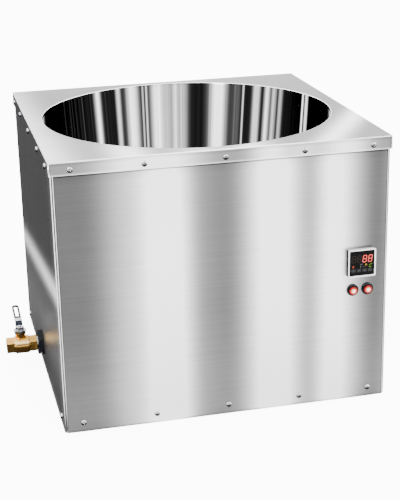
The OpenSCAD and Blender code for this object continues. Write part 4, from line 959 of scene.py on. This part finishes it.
# Flat bar with rounded ends in the plane of the face
def makeBar(name, length, width, depth, sides=20, offMiddle=0.02):
    bar = addPrimitive("cylinder", name, vertices=sides, radius=width / 2, depth=depth,
                       rotation=(math.radians(90), 0, 0))
    stretch = (length - width) / 2
    for side in (-1, 1):
        pick(bar, "VERT", lambda point: side * point.co.x > width * offMiddle)
        bpy.ops.transform.translate(value=(side * stretch, 0, 0))
        leaveEdit()
    return bar


def makeDigit(name, u, segmentWidth, layers, finish):
    settings = controllerSettings
    width, height = settings["digitSize"]
    share, depth = settings["segmentShare"], settings["markDepth"]
    across = makeBar("segment", width * share, segmentWidth, depth)
    upright = makeBar("segment", height / 2 * share, segmentWidth, depth)
    quarter = (0, math.radians(90), 0)
    parts = [copyPiece(across, "segment", (0, 0, rise * height / 2)) for rise in (-1, 0, 1)]
    parts += [copyPiece(upright, "segment", (side * width / 2, 0, rise * height / 4), quarter)
              for side in (-1, 1) for rise in (-1, 1)]
    bpy.data.objects.remove(across)
    bpy.data.objects.remove(upright)
    digit = joinPieces(parts, name)
    for point in digit.data.vertices:    # the digits lean to the right
        point.co.x += settings["slant"] * point.co.z
    digit.location = onWindow(u, settings["digitRise"], layers)
    finishPiece(smooth(digit), "black_face", look=finish)


# The rim is light in front, with painted shade on its sides
def chooseForRim(centre, normal):
    x, z = controllerSettings["middle"]
    outside = max(abs(centre.x - x), z - centre.z) > controllerSettings["rimReach"]
    onSide = outside and normal.y > controllerSettings["rimFront"]
    return "case_side" if onSide else "light_rim"


# The case's sides take painted shade, and its top a painted light grey
def chooseForCase(centre, normal):
    return "case_top" if normal.z > controllerSettings["caseTop"] else "case_side"


def makeWindow(settings):
    width, height, thickness, rise = settings["window"]
    window = addPrimitive("cube", "display_window", size=1, location=onFace(0, rise, thickness / 2),
                          scale=(width, thickness, height))
    pick(window, "FACE", lambda face: face.normal.y < -faceLimits["facing"])
    bpy.ops.mesh.inset(thickness=settings["windowBorder"], depth=0.0)
    bpy.ops.transform.translate(value=(0, -settings["windowRise"], 0))
    leaveEdit()
    bevelEdges(window, settings["windowRounding"], 2, 25)
    finishPiece(smooth(window), "black_face")


def makeController(settings):
    roundings = settings["roundings"]
    rim = dress("controller_bezel", "controller_rim", "light_rim", roundings["rim"])
    layFinishes(rim, ["light_rim", "case_side"], chooseForRim)
    case = dress("controller_case", "controller_box", "black_plastic", roundings["case"], 2)
    layFinishes(case, ["case_side", "case_top"], chooseForCase)
    dress("controller_face", "controller_front", "black_face", roundings["face"], 1)
    makeWindow(settings)
    for number, (u, finish) in enumerate(settings["digits"], 1):
        makeDigit("digit_%d" % number, u, settings["segmentWidth"], 1, finish)
        if finish == "lit_red":    # brighter line along the middle of each lit segment
            makeDigit("digit_core_%d" % number, u, settings["coreWidth"], 2, "lit_core")


makeController(controllerSettings)


# Small lights and marks under the digits: (place, size, turn in degrees, finish)

markSettings = {
    "heat_light": ((-0.0149, -0.0058), (0.0046, 0.0028), 80, "lit_orange"),
    "upper_mark": ((-0.0008, -0.0024), (0.0046, 0.0015), 25, "white_mark"),
    "lower_mark": ((-0.002, -0.0068), (0.0036, 0.0013), 78, "white_mark"),
    "left_dot": ((0.0024, -0.0064), (0.0014, 0.0013), 0, "white_mark"),
    "right_dot": ((0.0061, -0.0064), (0.0014, 0.0013), 0, "white_mark"),
    "ready_light": ((0.0074, -0.0032), (0.0036, 0.0032), 0, "lit_yellow"),
    "arrow_shaft": ((0.0146, -0.0034), (0.005, 0.0012), 30, "lit_green"),
    "arrow_point": ((0.017, -0.0022), (0.0026, 0.0012), -40, "lit_green"),
    "run_light": ((0.0144, -0.0074), (0.0046, 0.0018), 0, "lit_green"),
}

for name, ((u, v), (length, width), turn, finish) in markSettings.items():
    mark = makeBar(name, length, width, controllerSettings["markDepth"])
    mark.rotation_euler = (0, -math.radians(turn), 0)
    mark.location = onWindow(u, v)
    finishPiece(smooth(mark), "black_face", look=finish)


# Keys with a symbol each; the symbols move with their keys

keySettings = {
    "symbols": {"set_key": "bar", "down_key": "down", "up_key": "up", "mode_key": "ring"},
    "rounding": 0.00025, "symbolLift": 0.00004, "thickness": 0.0002,
    "bar": (0.003, 0.0006, 0.0011),    # length, width, step up to the second bar
    "ring": (0.001, 0.00022, 0.0004),    # radius, half thickness, start of the gap
    "arrow": (0.0013, 0.0001),    # radius, edge rounding
}


def makeSymbol(kind, name, settings):
    if kind == "bar":
        length, width, step = settings["bar"]
        low = makeBar(name, length, width, settings["thickness"])
        return joinPieces([low, copyPiece(low, name, (0, 0, step))], name)
    if kind == "ring":
        radius, thickness, gap = settings["ring"]
        ring = addPrimitive("torus", name, rotation=(math.radians(90), 0, 0), major_radius=radius,
                            minor_radius=thickness, major_segments=32, minor_segments=8)
        pick(ring, "VERT", lambda point: min(point.co.x, point.co.z) > gap)
        bpy.ops.mesh.delete(type="VERT")
        pickAll(ring)
        bpy.ops.mesh.region_to_loop()
        bpy.ops.mesh.edge_face_add()
        leaveEdit()
        return ring
    radius, rounding = settings["arrow"]
    turn = 0 if kind == "up" else math.radians(180)
    arrow = addPrimitive("cylinder", name, vertices=3, radius=radius, depth=settings["thickness"],
                         rotation=(math.radians(90), turn, 0))
    return bevelEdges(arrow, rounding, 2, 30)


def makeKeys(settings):
    for node, kind in settings["symbols"].items():
        low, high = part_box(node)
        dress(node, node + "_cap", "key_grey", settings["rounding"], body=node)
        symbol = makeSymbol(kind, node + "_symbol", settings)
        symbol.location = ((low.x + high.x) / 2, low.y - settings["symbolLift"],
                           (low.z + high.z) / 2)
        finishPiece(smooth(symbol), "key_grey", body=node, look="white_mark")


makeKeys(keySettings)
print("controller built")


# Round lit switches

switchSettings = {"rounding": 0.0003}

for side in ("left", "right"):
    switch, rounding = side + "_switch", switchSettings["rounding"]
    dress(switch + "_housing", switch + "_ring", "black_gloss", rounding)
    dress(switch + "_button", switch + "_lens", "red_lens", rounding, body=side + "_button")
print("switches built")


# Outlet and brass ball valve

valveSettings = {
    "castRounding": 0.0005, "castAngle": 24,
    "turned": {    # node: (piece, body, finish, edge rounding)
        "valve_end": ("valve_end_piece", "cabinet", "brass", 0.0005),
        "packing_nut": ("gland_nut_ring", "cabinet", "brass", 0.0002),
        "outlet_pipe": ("outlet_tube", "cabinet", "polished_steel", 0.0004),
        "outlet_locknut": ("black_lock_nut", "cabinet", "black_gloss", 0.0009),
        "panel_seal": ("rubber_washer", "cabinet", "black_rubber", 0.0006),
        "valve_ball": ("plated_ball", "lever", "chrome", 0.0003),
        "valve_stem": ("lever_stem", "lever", "lever_steel", 0.0003),
        "lever_nut": ("lever_top_nut", "lever", "lever_steel", 0.0004),
    },
    "looks": {"outlet_pipe": "screw_steel", "outlet_locknut": "nut_gloss"},
}

dress("valve_body", "valve_casting", "brass", valveSettings["castRounding"],
      angle=valveSettings["castAngle"])
for node, (name, body, slotName, rounding) in valveSettings["turned"].items():
    dress(node, name, slotName, rounding, body=body, look=valveSettings["looks"].get(node))


# Lever: bent strip with a raised rim round the grip

leverSettings = {
    "rounding": 0.0005,
    "ballX": -0.315, "axisY": 0.013, "hubHeight": 0.0024,
    "gripStart": (0.0345, 0.0117),    # distance from the stem's axis and height over the hub's foot
    "gripEnd": (0.0755, 0.017),
    "lift": 0.0013, "halfWidth": 0.0049, "rimRadius": 0.0014,
    "rimSteps": 48, "rimOffMiddle": 0.0001,
    "rampReach": 0.008, "rampSlope": 0.6, "gripReach": 0.036,    # where the dark faces are; on the ramp the dark is a painted dark reflection
}


# The ramp and the grip take a dark steel beside the lighter flat piece between them; on the ramp it
# is a painted dark reflection
def chooseForLever(centre, normal):
    reach = centre.y - leverSettings["axisY"]
    onRamp = reach > leverSettings["rampReach"] and abs(normal.y) > leverSettings["rampSlope"]
    return "rim_steel" if onRamp or reach > leverSettings["gripReach"] else "lever_steel"


def makeLever(settings):
    lever = refine("valve_lever", "bent_lever", settings["rounding"], 3)
    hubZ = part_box("lever_nut")[0].z - settings["hubHeight"]
    startY, startZ = settings["gripStart"]
    endY, endZ = settings["gripEnd"]
    tilt = math.atan2(endZ - startZ, endY - startY)
    length = math.hypot(endY - startY, endZ - startZ)
    rim = addPrimitive("circle", "grip_rim", vertices=settings["rimSteps"],
                       radius=settings["halfWidth"])
    pick(rim, "VERT", lambda point: point.co.y > settings["rimOffMiddle"])
    bpy.ops.transform.translate(value=(0, length - settings["halfWidth"], 0))
    leaveEdit()
    activate(rim)
    bpy.ops.object.convert(target="CURVE")
    rim.data.bevel_depth = settings["rimRadius"]
    rim.data.bevel_resolution = 3
    bpy.ops.object.convert(target="MESH")
    rim = bpy.context.object
    rim.rotation_euler = (tilt, 0, 0)
    rim.location = (settings["ballX"], settings["axisY"] + startY,
                    hubZ + startZ + settings["lift"])
    finishPiece(smooth(rim, angle=60), "lever_steel", body="lever", look="rim_steel")
    finishPiece(lever, "lever_steel", "valve_lever", body="lever")
    layFinishes(lever, ["lever_steel", "rim_steel"], chooseForLever)


makeLever(leverSettings)
print("valve built")


# Cable gland at the back

glandPieces = {    # node: (piece, finish, edge rounding)
    "gland_body": ("gland_hexagon", "black_plastic", 0.0006),
    "gland_cap": ("gland_dome", "black_plastic", 0.0008),
    "gland_seal": ("gland_rubber", "black_rubber", 0.0005),
}

for node, (name, slotName, rounding) in glandPieces.items():
    dress(node, name, slotName, rounding)
print("gland built")


# Studio: pale floor, soft lights and an even pale surround

studioSettings = {
    "floorSize": 40.0, "floorTones": ((0.93, 0.93, 0.93, 1), (0.9, 0.9, 0.9, 1)),
    "floorGlow": 9.0, "floorSmudge": 1.5, "shadedTone": (0.05, 0.05, 0.052, 1),
    "shadedX": (-0.274, -0.279), "shadedY": (-0.33, -0.28),
    "bright": (3.2, 3.2, 3.2, 1), "dim": (0.5, 0.5, 0.52, 1), "backdrop": (10.5, 10.5, 10.5, 1),
    "dimFront": (-0.35, -0.8), "dimLow": (0.62, 0.25),    # Y and Z of the way looked
    "lights": [    # name, place, aimed at, size, power
        ("key", (-1.5, -1.6, 2.2), (0, 0, 0.2), 0.7, 45),
        ("fill", (2.0, -1.4, 1.8), (0, 0, 0.2), 1.2, 30),
        ("back", (0.6, 2.2, 2.4), (0, 0, 0.3), 1.6, 30),
    ],
}


# Pale paper. The camera sees it brighter than the object does, and evenly so. A dark card on the
# left shows in the side panel and under the valve alone.
def makeFloor(settings):
    floor = addPrimitive("plane", "floor", size=settings["floorSize"])
    material, tree, shader = newMaterial("floor_paper", {
        "Emission Strength": settings["floorGlow"], "Roughness": 0.9, "Specular IOR Level": 0.0})
    smudge = useGroup(tree, "smudge", Size=settings["floorSmudge"])["Mask"]
    seen = cameraRay(tree)
    parts = axisValues(tree)
    leftwards = rescale(tree, parts["X"], settings["shadedX"])
    backwards = rescale(tree, parts["Y"], settings["shadedY"])
    card = multiply(tree, leftwards, backwards)
    card = multiply(tree, card, calculate(tree, "SUBTRACT", 1.0, seen))
    pale = mixColours(tree, smudge, *settings["floorTones"])
    feed(shader["Base Color"], mixColours(tree, card, pale, settings["shadedTone"]))
    feed(shader["Emission Color"], mixColours(tree, seen, black, white))
    floor.data.materials.append(material)


# Even surround, dimmer low down on the side that the front looks at
def makeSurround(settings):
    world = bpy.context.scene.world or bpy.data.worlds.new("surround")
    bpy.context.scene.world = world
    world.use_nodes = True
    tree = world.node_tree
    parts = axisValues(tree, "Generated")
    mask = multiply(tree, rescale(tree, parts["Y"], settings["dimFront"]),
                    rescale(tree, parts["Z"], settings["dimLow"]))
    light = mixColours(tree, mask, settings["bright"], settings["dim"])
    background = tree.nodes["Background"].inputs["Color"]
    feed(background, mixColours(tree, cameraRay(tree), light, settings["backdrop"]))


def buildStudio(settings):
    makeFloor(settings)
    makeSurround(settings)
    for name, place, target, size, power in settings["lights"]:
        aim = (Vector(target) - Vector(place)).to_track_quat("-Z", "Y").to_euler()
        bpy.ops.object.light_add(type="AREA", location=place, rotation=aim)
        light = bpy.context.object
        light.name = name
        light.data.size = size
        light.data.energy = power


buildStudio(studioSettings)
print("studio built")
